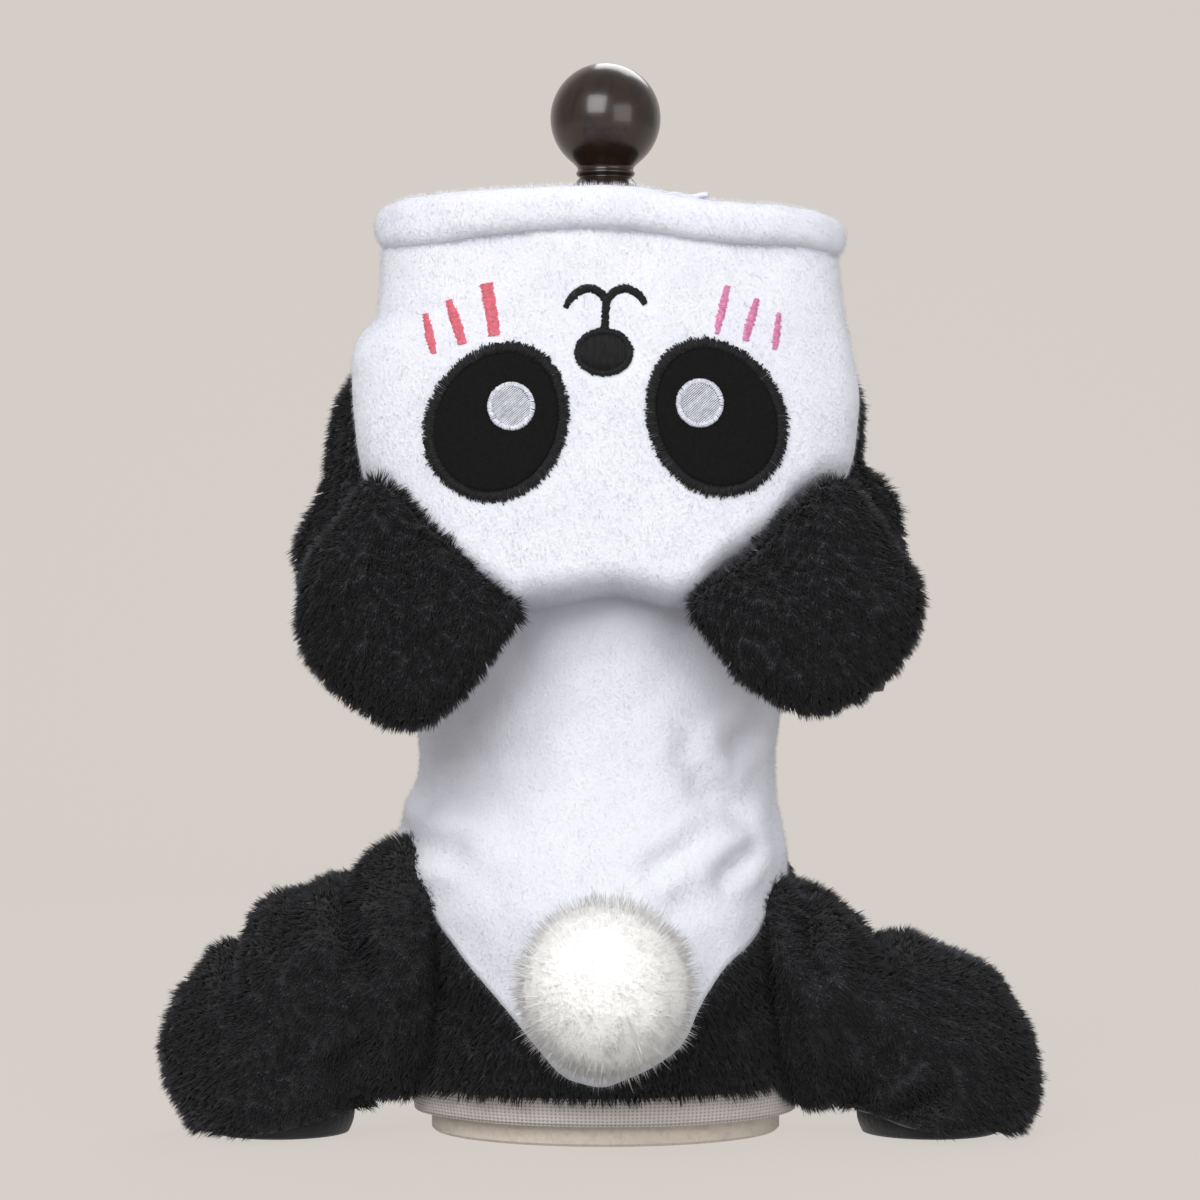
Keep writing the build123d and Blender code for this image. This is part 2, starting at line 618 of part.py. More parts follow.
def sleeve_solid(wall):
    """Loft of the right sleeve, drawn in by a wall; its inner side is upright at the suit."""
    with BuildPart() as sleeve:
        for share, half_width, half_depth in SLEEVE_STATIONS:
            if share == 1.0 and wall:
                continue
            centre_x = shoulder_x + half_width
            height = SLEEVE_BOTTOM + share * SLEEVE_LENGTH
            with BuildSketch(Plane.XY.offset(height)):
                with Locations((centre_x, SLEEVE_Y)):
                    Ellipse(half_width - wall, half_depth - wall)
        loft()
    return sleeve.part


sleeve_outside = sleeve_solid(0.0)
sleeve_inside = sleeve_solid(SLEEVE_WALL)
cuff_half_width, cuff_half_depth = SLEEVE_STATIONS[0][1:]
for side in ("right", "left"):
    with BuildPart() as sleeve_tube:
        add(sleeve_outside)
        add(sleeve_inside, mode=Mode.SUBTRACT)
        if side == "left":
            mirror(about=Plane.YZ, mode=Mode.REPLACE)
    save(sleeve_tube, f"{side}_sleeve")
    with BuildPart() as sleeve_cuff:
        with BuildSketch(Plane.XY.offset(SLEEVE_BOTTOM)):
            with Locations((shoulder_x + cuff_half_width, SLEEVE_Y)):
                Ellipse(cuff_half_width, cuff_half_depth)
                Ellipse(cuff_half_width - SLEEVE_WALL, cuff_half_depth - SLEEVE_WALL,
                        mode=Mode.SUBTRACT)
        extrude(amount=-SLEEVE_CUFF_HEIGHT)
        if side == "left":
            mirror(about=Plane.YZ, mode=Mode.REPLACE)
    save(sleeve_cuff, f"{side}_sleeve_cuff")

# ================================================================ hind legs
hip_x = HIP_SHARE * FORM_HALF_WIDTH
leg_run = LEG_REACH - hip_x
cuff_x = hip_x + LEG_CUFF_SHARE * leg_run


def leg_solid(wall):
    """Loft of the right hind leg from inside the hip to the foot's tip, drawn in by a wall."""
    with BuildPart() as leg:
        for share, height, half_height, y_middle, half_depth in LEG_STATIONS:
            reach = hip_x + share * leg_run - (wall if share == 1.0 else 0.0)
            with BuildSketch(Plane.YZ.offset(reach)):
                with Locations((y_middle, height)):
                    Ellipse(half_depth - wall, half_height - wall)
        loft()
    return leg.part


suit_with_gap = oval_stack(torso_levels(KNIT + PLUSH + LEG_GAP, suit=True))
suit_with_wall = oval_stack(torso_levels(KNIT + PLUSH + LEG_GAP + LEG_WALL, suit=True))
leg_outside = leg_solid(0.0)
cuff_top = LEG_BOTTOM_GAP + LEG_CUFF_HEIGHT
leg_y = LEG_STATIONS[2][3]
with BuildPart() as leg_inside:
    add(leg_solid(LEG_WALL))
    add(suit_with_wall, mode=Mode.SUBTRACT)
with BuildPart() as right_leg:
    add(leg_outside)
    add(suit_with_gap, mode=Mode.SUBTRACT)
    add(leg_inside.part, mode=Mode.SUBTRACT)
    with BuildSketch(Plane.XY.offset(-TALL + cuff_top)):
        with Locations((cuff_x, leg_y)):
            Circle(LEG_CUFF_RADIUS)
    extrude(amount=TALL, mode=Mode.SUBTRACT)
with BuildPart() as right_cuff:
    with BuildSketch(Plane.XY.offset(LEG_BOTTOM_GAP)):
        with Locations((cuff_x, leg_y)):
            Circle(LEG_CUFF_RADIUS)
            Circle(LEG_CUFF_RADIUS - LEG_CUFF_WALL, mode=Mode.SUBTRACT)
    extrude(amount=LEG_CUFF_HEIGHT)
for right_piece, name in ((right_leg, "hind_leg"), (right_cuff, "hind_leg_cuff")):
    save(right_piece, f"right_{name}")
    with BuildPart() as left_piece:
        add(right_piece.part)
        mirror(about=Plane.YZ, mode=Mode.REPLACE)
    save(left_piece, f"left_{name}")

# ================================================================ tail
pompom_back_y = -(max(suit_depths[:3]) + TAIL_GAP)
pompom_y = pompom_back_y - POMPOM_RADIUS + POMPOM_SINK
tie_z = POMPOM_Z + TIE_RISE_SHARE * sqrt(POMPOM_RADIUS ** 2 - (POMPOM_RADIUS - POMPOM_SINK) ** 2)
with BuildPart() as tail_tie:
    with BuildSketch(Plane.XZ):
        with Locations((0, tie_z)):
            Circle(TIE_RADIUS)
    extrude(amount=-pompom_back_y - 0.4)
    add(suit_outer, mode=Mode.SUBTRACT)
save(tail_tie, "tail_tie")

with BuildPart() as pompom_knot:
    with BuildSketch(Plane.XZ.offset(-pompom_y - 0.5 * KNOT_LENGTH)):
        with Locations((0, POMPOM_Z)):
            Circle(KNOT_RADIUS)
    extrude(amount=KNOT_LENGTH)
save(pompom_knot, "pompom_knot")

with BuildPart() as tail_pompom:
    with Locations((0, pompom_y, POMPOM_Z)):
        Sphere(POMPOM_RADIUS)
    split(bisect_by=Plane.XZ.offset(-pompom_back_y), keep=Keep.TOP)
    add(pompom_knot.part, mode=Mode.SUBTRACT)
save(tail_pompom, "tail_pompom")
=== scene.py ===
import logging
import math
from dataclasses import dataclass, field
from enum import Enum
from typing import Callable, Optional, Sequence

import bmesh
import bpy
import numpy as np
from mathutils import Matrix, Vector


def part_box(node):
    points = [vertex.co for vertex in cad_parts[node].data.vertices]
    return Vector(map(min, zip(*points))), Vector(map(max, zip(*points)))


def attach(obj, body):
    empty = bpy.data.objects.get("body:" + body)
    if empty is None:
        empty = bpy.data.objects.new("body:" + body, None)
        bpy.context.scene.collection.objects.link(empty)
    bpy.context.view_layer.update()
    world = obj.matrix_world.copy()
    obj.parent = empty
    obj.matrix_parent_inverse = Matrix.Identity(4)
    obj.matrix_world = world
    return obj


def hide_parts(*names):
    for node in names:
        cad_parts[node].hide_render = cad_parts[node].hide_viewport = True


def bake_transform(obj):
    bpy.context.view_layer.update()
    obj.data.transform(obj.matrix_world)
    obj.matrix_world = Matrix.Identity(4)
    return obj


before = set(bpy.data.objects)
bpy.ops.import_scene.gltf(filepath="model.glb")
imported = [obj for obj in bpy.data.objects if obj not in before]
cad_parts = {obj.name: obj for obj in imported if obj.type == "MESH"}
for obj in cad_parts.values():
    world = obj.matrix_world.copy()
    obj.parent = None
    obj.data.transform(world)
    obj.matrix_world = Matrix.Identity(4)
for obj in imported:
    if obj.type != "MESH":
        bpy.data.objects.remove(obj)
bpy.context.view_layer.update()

MM = 0.001
TAU = 2.0 * math.pi

Array = np.ndarray
Knots = Sequence[tuple[float, float]]

log = logging.getLogger("panda_suit")


class Side(Enum):
    """Which of a pair, seen by someone who looks at the suit's back."""

    LEFT = -1
    RIGHT = 1

    @property
    def sign(self) -> int:
        """-1 on the left and +1 on the right."""
        return self.value

    @property
    def word(self) -> str:
        """The name used for the CAD nodes, joints and bodies."""
        return self.name.lower()


# --------------------------------------------------------------------------- shape tools


def through(knots: Knots, at: Array) -> Array:
    """Smooth curve through knots: a cubic on each span, with slopes taken from its neighbours.

    Args:
        knots: (place, value) pairs in rising order of place.
        at: places to read the curve at; past either end it keeps the end's value.

    Returns:
        The curve's value at each place.
    """
    place, value = np.array(knots, float).T
    slope = np.gradient(value, place)
    span = np.clip(np.searchsorted(place, at, side="right") - 1, 0, len(place) - 2)
    length = place[span + 1] - place[span]
    t = np.clip((at - place[span]) / length, 0.0, 1.0)
    rise = value[span] * (1 + 2 * t) * (1 - t) ** 2 + value[span + 1] * t * t * (3 - 2 * t)
    return rise + length * t * (1 - t) * (slope[span] * (1 - t) - slope[span + 1] * t)


def swell(points: Array, wavelength: float, seed: int, waves: int = 9) -> Array:
    """Smooth random field near -1 to 1: a sum of sine waves of one length in random directions.

    Args:
        points: places in millimetres, with the coordinates last.
        wavelength: distance between neighbouring crests, in millimetres.
        seed: picks the directions and phases.
        waves: how many waves are summed.
    """
    rng = np.random.default_rng(seed)
    way = rng.normal(size=(waves, 3))
    way *= TAU / wavelength / np.linalg.norm(way, axis=1, keepdims=True)
    phase = rng.uniform(0.0, TAU, waves)
    return np.sin(points @ way.T + phase).sum(axis=-1) * math.sqrt(2.0 / waves) * 0.6


def unit(vectors: Array) -> Array:
    """The vectors at length one."""
    return vectors / np.maximum(np.linalg.norm(vectors, axis=-1, keepdims=True), 1e-12)


def squared(around: Array, power: float) -> tuple[Array, Array]:
    """Cosine and sine of an angle to a power that keeps their signs: a round that is squared off."""
    cosine, sine = np.cos(around), np.sin(around)
    return np.sign(cosine) * np.abs(cosine) ** power, np.sign(sine) * np.abs(sine) ** power


@dataclass(frozen=True)
class Crease:
    """A fold line pressed into cloth, with a soft lip on each side of it.

    Attributes:
        start: one end, in millimetres.
        end: the other end.
        depth: how deep the line is pressed; below zero it is a raised fold.
        width: distance over which it fades.
    """

    start: tuple[float, float, float]
    end: tuple[float, float, float]
    depth: float
    width: float


class Skin:
    """A surface on a grid of points, in millimetres, with its outward unit normals.

    Rows run along the first axis and columns along the second. Where wrap is true the last
    column joins the first.
    """

    def __init__(self, points: Array, wrap: bool = False, flip: bool = False) -> None:
        """Keep the grid and work out its normals.

        Args:
            points: (rows, columns, 3) places.
            wrap: whether the columns close round.
            flip: turns the normals to the other side.
        """
        self.points = points
        self.wrap = wrap
        self.flip = flip
        self.normals = self._normals()

    def _normals(self) -> Array:
        """Cross product of the grid's two central differences, at length one."""
        along = np.gradient(self.points, axis=0)
        if self.wrap:
            across = np.roll(self.points, -1, axis=1) - np.roll(self.points, 1, axis=1)
        else:
            across = np.gradient(self.points, axis=1)
        normal = unit(np.cross(across, along))
        return -normal if self.flip else normal

    def moved(self, distance: Array) -> "Skin":
        """The surface moved along its normals by a distance at each point."""
        return Skin(self.points + self.normals * distance[..., None], self.wrap, self.flip)

    def ruffled(self, amount: float, wavelength: float, seed: int) -> "Skin":
        """The surface with soft random undulation."""
        return self.moved(amount * swell(self.points, wavelength, seed))

    def creased(self, creases: Sequence[Crease]) -> "Skin":
        """The surface with creases pressed in.

        Each point moves by the crease's depth times a bell curve of its distance from the
        line, less a lower and wider bell that raises the lips.
        """
        shift = np.zeros(self.points.shape[:2])
        for crease in creases:
            start, end = np.array(crease.start), np.array(crease.end)
            run = end - start
            t = np.clip(((self.points - start) @ run) / (run @ run), 0.0, 1.0)
            away = np.linalg.norm(self.points - start - t[..., None] * run, axis=-1)
            taper = np.sqrt(np.clip(1.0 - (2.0 * np.abs(t - 0.5)) ** 4, 0.15, 1.0))
            near = away / crease.width
            shift -= crease.depth * taper * (np.exp(-near**2) - 0.45 * np.exp(-((near - 1.7) ** 2)))
        return self.moved(shift)

    def quads(self, offset: int = 0, reverse: bool = False) -> Array:
        """Corner indices of the grid's faces, counter-clockwise seen from outside."""
        rows, columns = self.points.shape[:2]
        index = np.arange(rows * columns).reshape(rows, columns) + offset
        if self.wrap:
            index = np.hstack([index, index[:, :1]])
        quad = np.stack([index[:-1, :-1], index[:-1, 1:], index[1:, 1:], index[1:, :-1]], axis=-1)
        quad = quad.reshape(-1, 4)
        return quad[:, ::-1] if reverse != self.flip else quad

    def border(self) -> list[Array]:
        """The grid's open edges as runs of point indices, each with the surface on its left."""
        rows, columns = self.points.shape[:2]
        index = np.arange(rows * columns).reshape(rows, columns)
        if self.wrap:
            index = np.hstack([index, index[:, :1]])
            return [index[0], index[-1][::-1]]
        return [index[0], index[:, -1], index[-1][::-1], index[:, 0][::-1]]

    def shell(self, thickness: float) -> tuple[Array, Array]:
        """A closed wall: this surface, one inside it by the thickness, and strips round the edges.

        Returns:
            Points (n, 3) in millimetres and quads (m, 4).
        """
        outer = self.points.reshape(-1, 3)
        inner = (self.points - self.normals * thickness).reshape(-1, 3)
        count = len(outer)
        faces = [self.quads(), self.quads(count, reverse=True)]
        for run in self.border():
            strip = np.stack([run[:-1], run[:-1] + count, run[1:] + count, run[1:]], axis=-1)
            faces.append(strip[:, ::-1] if self.flip else strip)
        return np.vstack([outer, inner]), np.vstack(faces)


def piece_from(name: str, points: Array, faces: Array, smooth: bool = True) -> bpy.types.Object:
    """A mesh object from points in millimetres and faces of one size.

    Args:
        name: the piece's name.
        points: (n, 3) places in millimetres.
        faces: (m, corners) point indices.
        smooth: whether its faces are shaded smooth.
    """
    mesh = bpy.data.meshes.new(name)
    corners = faces.shape[1]
    mesh.vertices.add(len(points))
    mesh.vertices.foreach_set("co", (points * MM).astype(np.float32).ravel())
    mesh.loops.add(faces.size)
    mesh.loops.foreach_set("vertex_index", faces.astype(np.int32).ravel())
    mesh.polygons.add(len(faces))
    mesh.polygons.foreach_set("loop_start", np.arange(0, faces.size, corners, dtype=np.int32))
    mesh.polygons.foreach_set("use_smooth", np.full(len(faces), smooth))
    mesh.update(calc_edges=True)
    mesh.validate()
    item = bpy.data.objects.new(name, mesh)
    bpy.context.scene.collection.objects.link(item)
    return item


def welded(item: bpy.types.Object, distance: float = 0.02) -> bpy.types.Object:
    """The piece with coincident points merged, loose edges dropped and faces turned outwards."""
    work = bmesh.new()
    work.from_mesh(item.data)
    bmesh.ops.remove_doubles(work, verts=work.verts, dist=distance * MM)
    bmesh.ops.dissolve_degenerate(work, edges=work.edges, dist=1e-7)
    loose = [edge for edge in work.edges if not edge.link_faces]
    bmesh.ops.delete(work, geom=loose, context="EDGES")
    bmesh.ops.recalc_face_normals(work, faces=work.faces)
    work.to_mesh(item.data)
    work.free()
    return item


def cloth_piece(name: str, skin: Skin, thickness: float) -> bpy.types.Object:
    """A closed sheet of cloth: the skin with its thickness, merged at poles."""
    points, faces = skin.shell(thickness)
    return welded(piece_from(name, points, faces))


def area_of(skin: Skin) -> float:
    """The skin's area in square metres."""
    quad = skin.points.reshape(-1, 3)[skin.quads()]
    half_one = np.cross(quad[:, 1] - quad[:, 0], quad[:, 2] - quad[:, 0])
    half_two = np.cross(quad[:, 2] - quad[:, 0], quad[:, 3] - quad[:, 0])
    return 0.5 * float(np.linalg.norm(half_one, axis=1).sum()
                       + np.linalg.norm(half_two, axis=1).sum()) * MM * MM


def lathe(name: str, profile: Array, turns: int = 96) -> bpy.types.Object:
    """A solid of revolution about the Z axis.

    Args:
        name: the piece's name.
        profile: (n, 2) radius and height in millimetres, from the lower pole to the upper.
        turns: steps round.
    """
    angle = np.linspace(0.0, TAU, turns, endpoint=False)
    ring = np.stack([np.cos(angle), np.sin(angle)], axis=-1)
    points = np.empty((len(profile), turns, 3))
    points[..., :2] = profile[:, None, :1] * ring
    points[..., 2] = profile[:, None, 1]
    skin = Skin(points, wrap=True)
    return welded(piece_from(name, points.reshape(-1, 3), skin.quads()), 0.005)


# --------------------------------------------------------------------------- finishes


class Nodes:
    """A new material's node tree, with short ways to add and link nodes."""

    def __init__(self, name: str) -> None:
        """Start a material with an empty principled surface."""
        self.material = bpy.data.materials.new(name)
        self.material.use_nodes = True
        self.tree = self.material.node_tree
        self.surface = self.tree.nodes["Principled BSDF"]

    def add(self, kind: str, **settings: object) -> bpy.types.Node:
        """A node of a kind, with sockets or properties set by name."""
        node = self.tree.nodes.new(kind)
        for key, value in settings.items():
            if key in node.inputs:
                node.inputs[key].default_value = value
            else:
                setattr(node, key, value)
        return node

    def link(self, out: bpy.types.NodeSocket, into: bpy.types.NodeSocket) -> None:
        """Join two sockets."""
        self.tree.links.new(out, into)

    def set(self, **values: object) -> None:
        """Set the surface's own sockets; an underscore stands for a space."""
        for key, value in values.items():
            self.surface.inputs[key.replace("_", " ")].default_value = value

    def object_coordinates(self, scale: tuple[float, float, float] = (1, 1, 1)) -> bpy.types.NodeSocket:
        """Object coordinates through a mapping of a scale."""
        place = self.add("ShaderNodeTexCoord")
        mapping = self.add("ShaderNodeMapping")
        mapping.inputs["Scale"].default_value = scale
        self.link(place.outputs["Object"], mapping.inputs["Vector"])
        return mapping.outputs["Vector"]

    def ramp(self, stops: Sequence[tuple[float, tuple[float, float, float]]]) -> bpy.types.Node:
        """A colour ramp with stops of (place, colour)."""
        node = self.add("ShaderNodeValToRGB")
        while len(node.color_ramp.elements) < len(stops):
            node.color_ramp.elements.new(0.5)
        for element, (place, colour) in zip(node.color_ramp.elements, stops):
            element.position = place
            element.color = (*colour, 1.0)
        return node

    def mottle(self, stops: Sequence[tuple[float, tuple[float, float, float]]],
               stretch: tuple[float, float, float] = (1, 1, 1), **noise: float) -> bpy.types.NodeSocket:
        """Colour the surface by noise through a ramp.

        Args:
            stops: the ramp's (place, colour) pairs.
            stretch: scale of the coordinates.
            noise: the noise's own sockets.

        Returns:
            The noise, for a bump.
        """
        texture = self.add("ShaderNodeTexNoise", **noise)
        self.link(self.object_coordinates(stretch), texture.inputs["Vector"])
        ramp = self.ramp(stops)
        self.link(texture.outputs["Fac"], ramp.inputs["Fac"])
        self.link(ramp.outputs["Color"], self.surface.inputs["Base Color"])
        return texture.outputs["Fac"]

    def bump(self, height: bpy.types.NodeSocket, strength: float, distance: float) -> None:
        """Lead a height into the surface's normal."""
        node = self.add("ShaderNodeBump", Strength=strength, Distance=distance)
        self.link(height, node.inputs["Height"])
        self.link(node.outputs["Normal"], self.surface.inputs["Normal"])


@dataclass(frozen=True)
class ClothFinish:
    """Backing cloth under a pile: mottled colour, a fine nap and a sheen."""

    name: str
    dark: tuple[float, float, float]
    light: tuple[float, float, float]
    sheen: float = 0.3
    grain: float = 900.0

    def make(self) -> bpy.types.Material:
        """Build the material."""
        nodes = Nodes(self.name)
        nodes.mottle([(0.3, self.dark), (0.7, self.light)], Scale=55.0, Detail=3.0)
        nap = nodes.add("ShaderNodeTexNoise", Scale=self.grain, Detail=2.0)
        nodes.link(nodes.object_coordinates(), nap.inputs["Vector"])
        nodes.bump(nap.outputs["Fac"], 0.6, 0.0006)
        nodes.set(Roughness=0.9, Sheen_Weight=self.sheen, Sheen_Roughness=0.5)
        return nodes.material


@dataclass(frozen=True)
class PileFinish:
    """Cut pile: a few close shades, each the same all along its tufts, with a sheen."""

    name: str
    shades: tuple[tuple[float, float, float], ...]
    roughness: float = 0.75
    sheen: float = 0.4
    sheen_roughness: float = 0.4
    sheen_tint: tuple[float, float, float] = (1.0, 1.0, 1.0)

    def make(self) -> list[bpy.types.Material]:
        """Build one material for each shade."""
        made = []
        for number, shade in enumerate(self.shades):
            nodes = Nodes(f"{self.name}_{number + 1}")
            nodes.set(Base_Color=(*shade, 1.0), Roughness=self.roughness, Sheen_Weight=self.sheen,
                      Sheen_Roughness=self.sheen_roughness, Sheen_Tint=(*self.sheen_tint, 1.0))
            made.append(nodes.material)
        return made


@dataclass(frozen=True)
class ThreadFinish:
    """Rayon embroidery thread: a twist along each stitch, and a silky gloss."""

    name: str
    dark: tuple[float, float, float]
    light: tuple[float, float, float]
    roughness: float = 0.38
    sheen: float = 0.3

    def make(self) -> bpy.types.Material:
        """Build the material."""
        nodes = Nodes(self.name)
        nodes.mottle([(0.3, self.dark), (0.7, self.light)], Scale=700.0, Detail=2.0)
        nodes.set(Roughness=self.roughness, Sheen_Weight=self.sheen, Sheen_Roughness=0.3,
                  Specular_IOR_Level=0.3)
        return nodes.material


@dataclass(frozen=True)
class FeltFinish:
    """Pressed felt: short tangled fibres, nearly without gloss."""

    name: str = "black_felt"
    dark: tuple[float, float, float] = (0.006, 0.006, 0.006)
    light: tuple[float, float, float] = (0.013, 0.012, 0.012)

    def make(self) -> bpy.types.Material:
        """Build the material."""
        nodes = Nodes(self.name)
        fibre = nodes.mottle([(0.35, self.dark), (0.75, self.light)],
                             Scale=1300.0, Detail=4.0, Distortion=1.5)
        nodes.bump(fibre, 0.5, 0.0004)
        nodes.set(Roughness=0.95, Sheen_Weight=0.03, Sheen_Roughness=0.6, Specular_IOR_Level=0.05)
        return nodes.material


@dataclass(frozen=True)
class KnitFinish:
    """Stockinette: rows of stitches, with painted shade in the small holes between them and a painted highlight
    on each stitch's crest.
    """

    name: str = "knit_beige"
    yarn: tuple[float, float, float] = (0.60, 0.55, 0.52)
    # colour of the painted shade in the holes between stitches
    hole_shade: tuple[float, float, float] = (0.20, 0.16, 0.14)

    def make(self) -> bpy.types.Material:
        """Build the material: the painted hole shade lies where both waves of its map are low, and a painted
        highlight lightens the colour where both are high.
        """
        nodes = Nodes(self.name)
        place = nodes.add("ShaderNodeUVMap", uv_map="stitch")
        split = nodes.add("ShaderNodeSeparateXYZ")
        nodes.link(place.outputs["UV"], split.inputs["Vector"])

        def wave(source: bpy.types.NodeSocket, factor: float) -> bpy.types.NodeSocket:
            """Cosine of the source times a factor."""
            scaled = nodes.add("ShaderNodeMath", operation="MULTIPLY")
            scaled.inputs[1].default_value = factor
            nodes.link(source, scaled.inputs[0])
            cosine = nodes.add("ShaderNodeMath", operation="COSINE")
            nodes.link(scaled.outputs[0], cosine.inputs[0])
            return cosine.outputs[0]

        across = wave(split.outputs["X"], TAU)
        up = wave(split.outputs["Y"], TAU)
        both = nodes.add("ShaderNodeMath", operation="ADD")
        nodes.link(across, both.inputs[0])
        nodes.link(up, both.inputs[1])
        # painted shade in the holes, the yarn's own tone, and a painted highlight a quarter lighter on the
        # crests
        ramp = nodes.ramp([(0.0, self.hole_shade), (0.22, self.yarn),
                           (1.0, tuple(1.25 * part for part in self.yarn))])
        spread = nodes.add("ShaderNodeMapRange")
        spread.inputs["From Min"].default_value = -2.0
        spread.inputs["From Max"].default_value = 2.0
        nodes.link(both.outputs[0], spread.inputs["Value"])
        nodes.link(spread.outputs["Result"], ramp.inputs["Fac"])
        nodes.link(ramp.outputs["Color"], nodes.surface.inputs["Base Color"])
        nodes.bump(spread.outputs["Result"], 0.8, 0.0005)
        nodes.set(Roughness=0.92, Sheen_Weight=0.3, Sheen_Roughness=0.6)
        return nodes.material


@dataclass(frozen=True)
class WoodFinish:
    """Turned wood under lacquer: grain stretched along the neck, darker in its pores."""

    name: str
    dark: tuple[float, float, float]
    light: tuple[float, float, float]
    roughness: float = 0.28
    coat: float = 0.4
    grain: tuple[float, float, float] = (60.0, 60.0, 14.0)

    def make(self) -> bpy.types.Material:
        """Build the material."""
        nodes = Nodes(self.name)
        pore = tuple(0.7 * part for part in self.light)
        grain = nodes.mottle([(0.25, self.dark), (0.55, self.light), (0.8, pore)], self.grain,
                             Scale=3.0, Detail=6.0, Roughness=0.65, Distortion=0.8)
        nodes.bump(grain, 0.08, 0.0004)
        nodes.set(Roughness=self.roughness, Coat_Weight=self.coat, Coat_Roughness=0.12)
        return nodes.material


@dataclass(frozen=True)
class HardFinish:
    """Metal or moulded plastic with fine tooling or moulding texture."""

    name: str
    dark: tuple[float, float, float]
    light: tuple[float, float, float]
    roughness: float
    metallic: float = 0.0
    scale: float = 300.0

    def make(self) -> bpy.types.Material:
        """Build the material."""
        nodes = Nodes(self.name)
        texture = nodes.mottle([(0.3, self.dark), (0.7, self.light)], Scale=self.scale, Detail=3.0)
        nodes.bump(texture, 0.15, 0.0003)
        nodes.set(Roughness=self.roughness, Metallic=self.metallic)
        return nodes.material


class Palette:
    """Every finish of the suit and its form, made once."""

    def __init__(self) -> None:
        """Build all materials."""
        self.white_cloth = ClothFinish("white_backing", (0.78, 0.795, 0.88), (0.84, 0.853, 0.925), 0.0).make()
        self.black_cloth = ClothFinish("black_backing", (0.004, 0.004, 0.005),
                                       (0.014, 0.014, 0.016)).make()
        self.lining = ClothFinish("hood_lining", (0.70, 0.71, 0.77), (0.80, 0.81, 0.86)).make()
        self.white_pile = PileFinish("white_pile", ((0.86, 0.873, 0.945), (0.85, 0.863, 0.935),
                                                    (0.87, 0.883, 0.95)), roughness=1.0,
                                     sheen=0.0).make()
        self.black_pile = PileFinish("black_pile", ((0.005, 0.005, 0.006), (0.0025, 0.0025, 0.003),
                                                    (0.012, 0.0125, 0.014)), roughness=0.6, sheen=0.12,
                                     sheen_roughness=0.35, sheen_tint=(0.75, 0.8, 0.95)).make()
        self.yarn = PileFinish("pompom_yarn", ((0.97, 0.965, 0.955), (0.95, 0.945, 0.93),
                                               (0.99, 0.99, 0.985)), roughness=0.9,
                               sheen=0.0).make()
        self.yarn_core = ClothFinish("pompom_core", (0.93, 0.925, 0.91), (0.97, 0.965, 0.95), 0.0).make()
        self.black_thread = ThreadFinish("black_thread", (0.003, 0.003, 0.004),
                                         (0.012, 0.012, 0.015), 0.55, 0.05).make()
        self.white_thread = ThreadFinish("white_thread", (0.62, 0.64, 0.74), (0.88, 0.89, 0.95)).make()
        self.coral_thread = ThreadFinish("coral_thread", (0.80, 0.15, 0.21), (0.95, 0.25, 0.34)).make()
        self.pink_thread = ThreadFinish("pink_thread", (0.75, 0.21, 0.45), (0.93, 0.38, 0.64)).make()
        self.felt = FeltFinish().make()
        self.knit = KnitFinish().make()
        self.wood = WoodFinish("dark_wood", (0.004, 0.002, 0.0012), (0.024, 0.012, 0.007)).make()
        self.board = WoodFinish("board", (0.50, 0.43, 0.36), (0.66, 0.59, 0.51), 0.7, 0.0,
                                (90.0, 20.0, 90.0)).make()
        self.shell = HardFinish("moulded_shell", (0.60, 0.57, 0.50), (0.72, 0.69, 0.62), 0.7).make()
        self.steel = HardFinish("zinc_steel", (0.5, 0.5, 0.52), (0.72, 0.72, 0.74), 0.35, 1.0, 900.0).make()
        self.snap = HardFinish("snap_plastic", (0.80, 0.80, 0.78), (0.88, 0.88, 0.86), 0.25).make()
        self.stuffing = ClothFinish("stuffing", (0.80, 0.80, 0.78), (0.93, 0.93, 0.91), 0.2, 300.0).make()
        self.cord = ThreadFinish("tie_thread", (0.62, 0.60, 0.56), (0.84, 0.82, 0.78), 0.6).make()


# --------------------------------------------------------------------------- pile


@dataclass(frozen=True)
class Pile:
    """How cut pile stands on its cloth, in millimetres.

    Attributes:
        length: of a tuft.
        width: of a tuft at its root.
        lean: 0 stands straight up, 1 lies halfway over along the nap.
        stray: how far each tip goes its own way, as a share of the length.
        lock: size of the locks in which tips draw together.
        gather: how strongly they do so, from 0 to 1.
        rise: least height of a tip, as a share of the length.
    """

    length: float
    width: float
    lean: float
    stray: float
    lock: float
    gather: float
    rise: float = 0.35


WHITE_PILE = Pile(length=1.7, width=0.14, lean=1.2, stray=0.25, lock=3.0, gather=0.05, rise=0.30)
BLACK_PILE = Pile(length=4.4, width=0.62, lean=0.8, stray=0.24, lock=3.0, gather=0.45)


def scatter(skin: Skin, count: int, rng: np.random.Generator,
            weight: Optional[Callable[[Array], Array]] = None) -> tuple[Array, Array]:
    """Random places spread evenly over a skin.

    Args:
        skin: the surface.
        count: how many places.
        rng: the random numbers.
        weight: density at a place, if it isn't even.

    Returns:
        Places and normals, each (count, 3).
    """
    quads = skin.quads()
    spots, normals = skin.points.reshape(-1, 3), skin.normals.reshape(-1, 3)
    corner = spots[quads]
    size = np.linalg.norm(np.cross(corner[:, 2] - corner[:, 0], corner[:, 3] - corner[:, 1]), axis=1)
    if weight is not None:
        size = size * weight(corner.mean(axis=1))
    chosen = rng.choice(len(quads), count, p=size / size.sum())
    s, t = rng.random((2, count, 1))
    mix = [(1 - s) * (1 - t), s * (1 - t), s * t, (1 - s) * t]
    place = sum(part * spots[quads[chosen, n]] for n, part in enumerate(mix))
    normal = sum(part * normals[quads[chosen, n]] for n, part in enumerate(mix))
    return place, unit(normal)


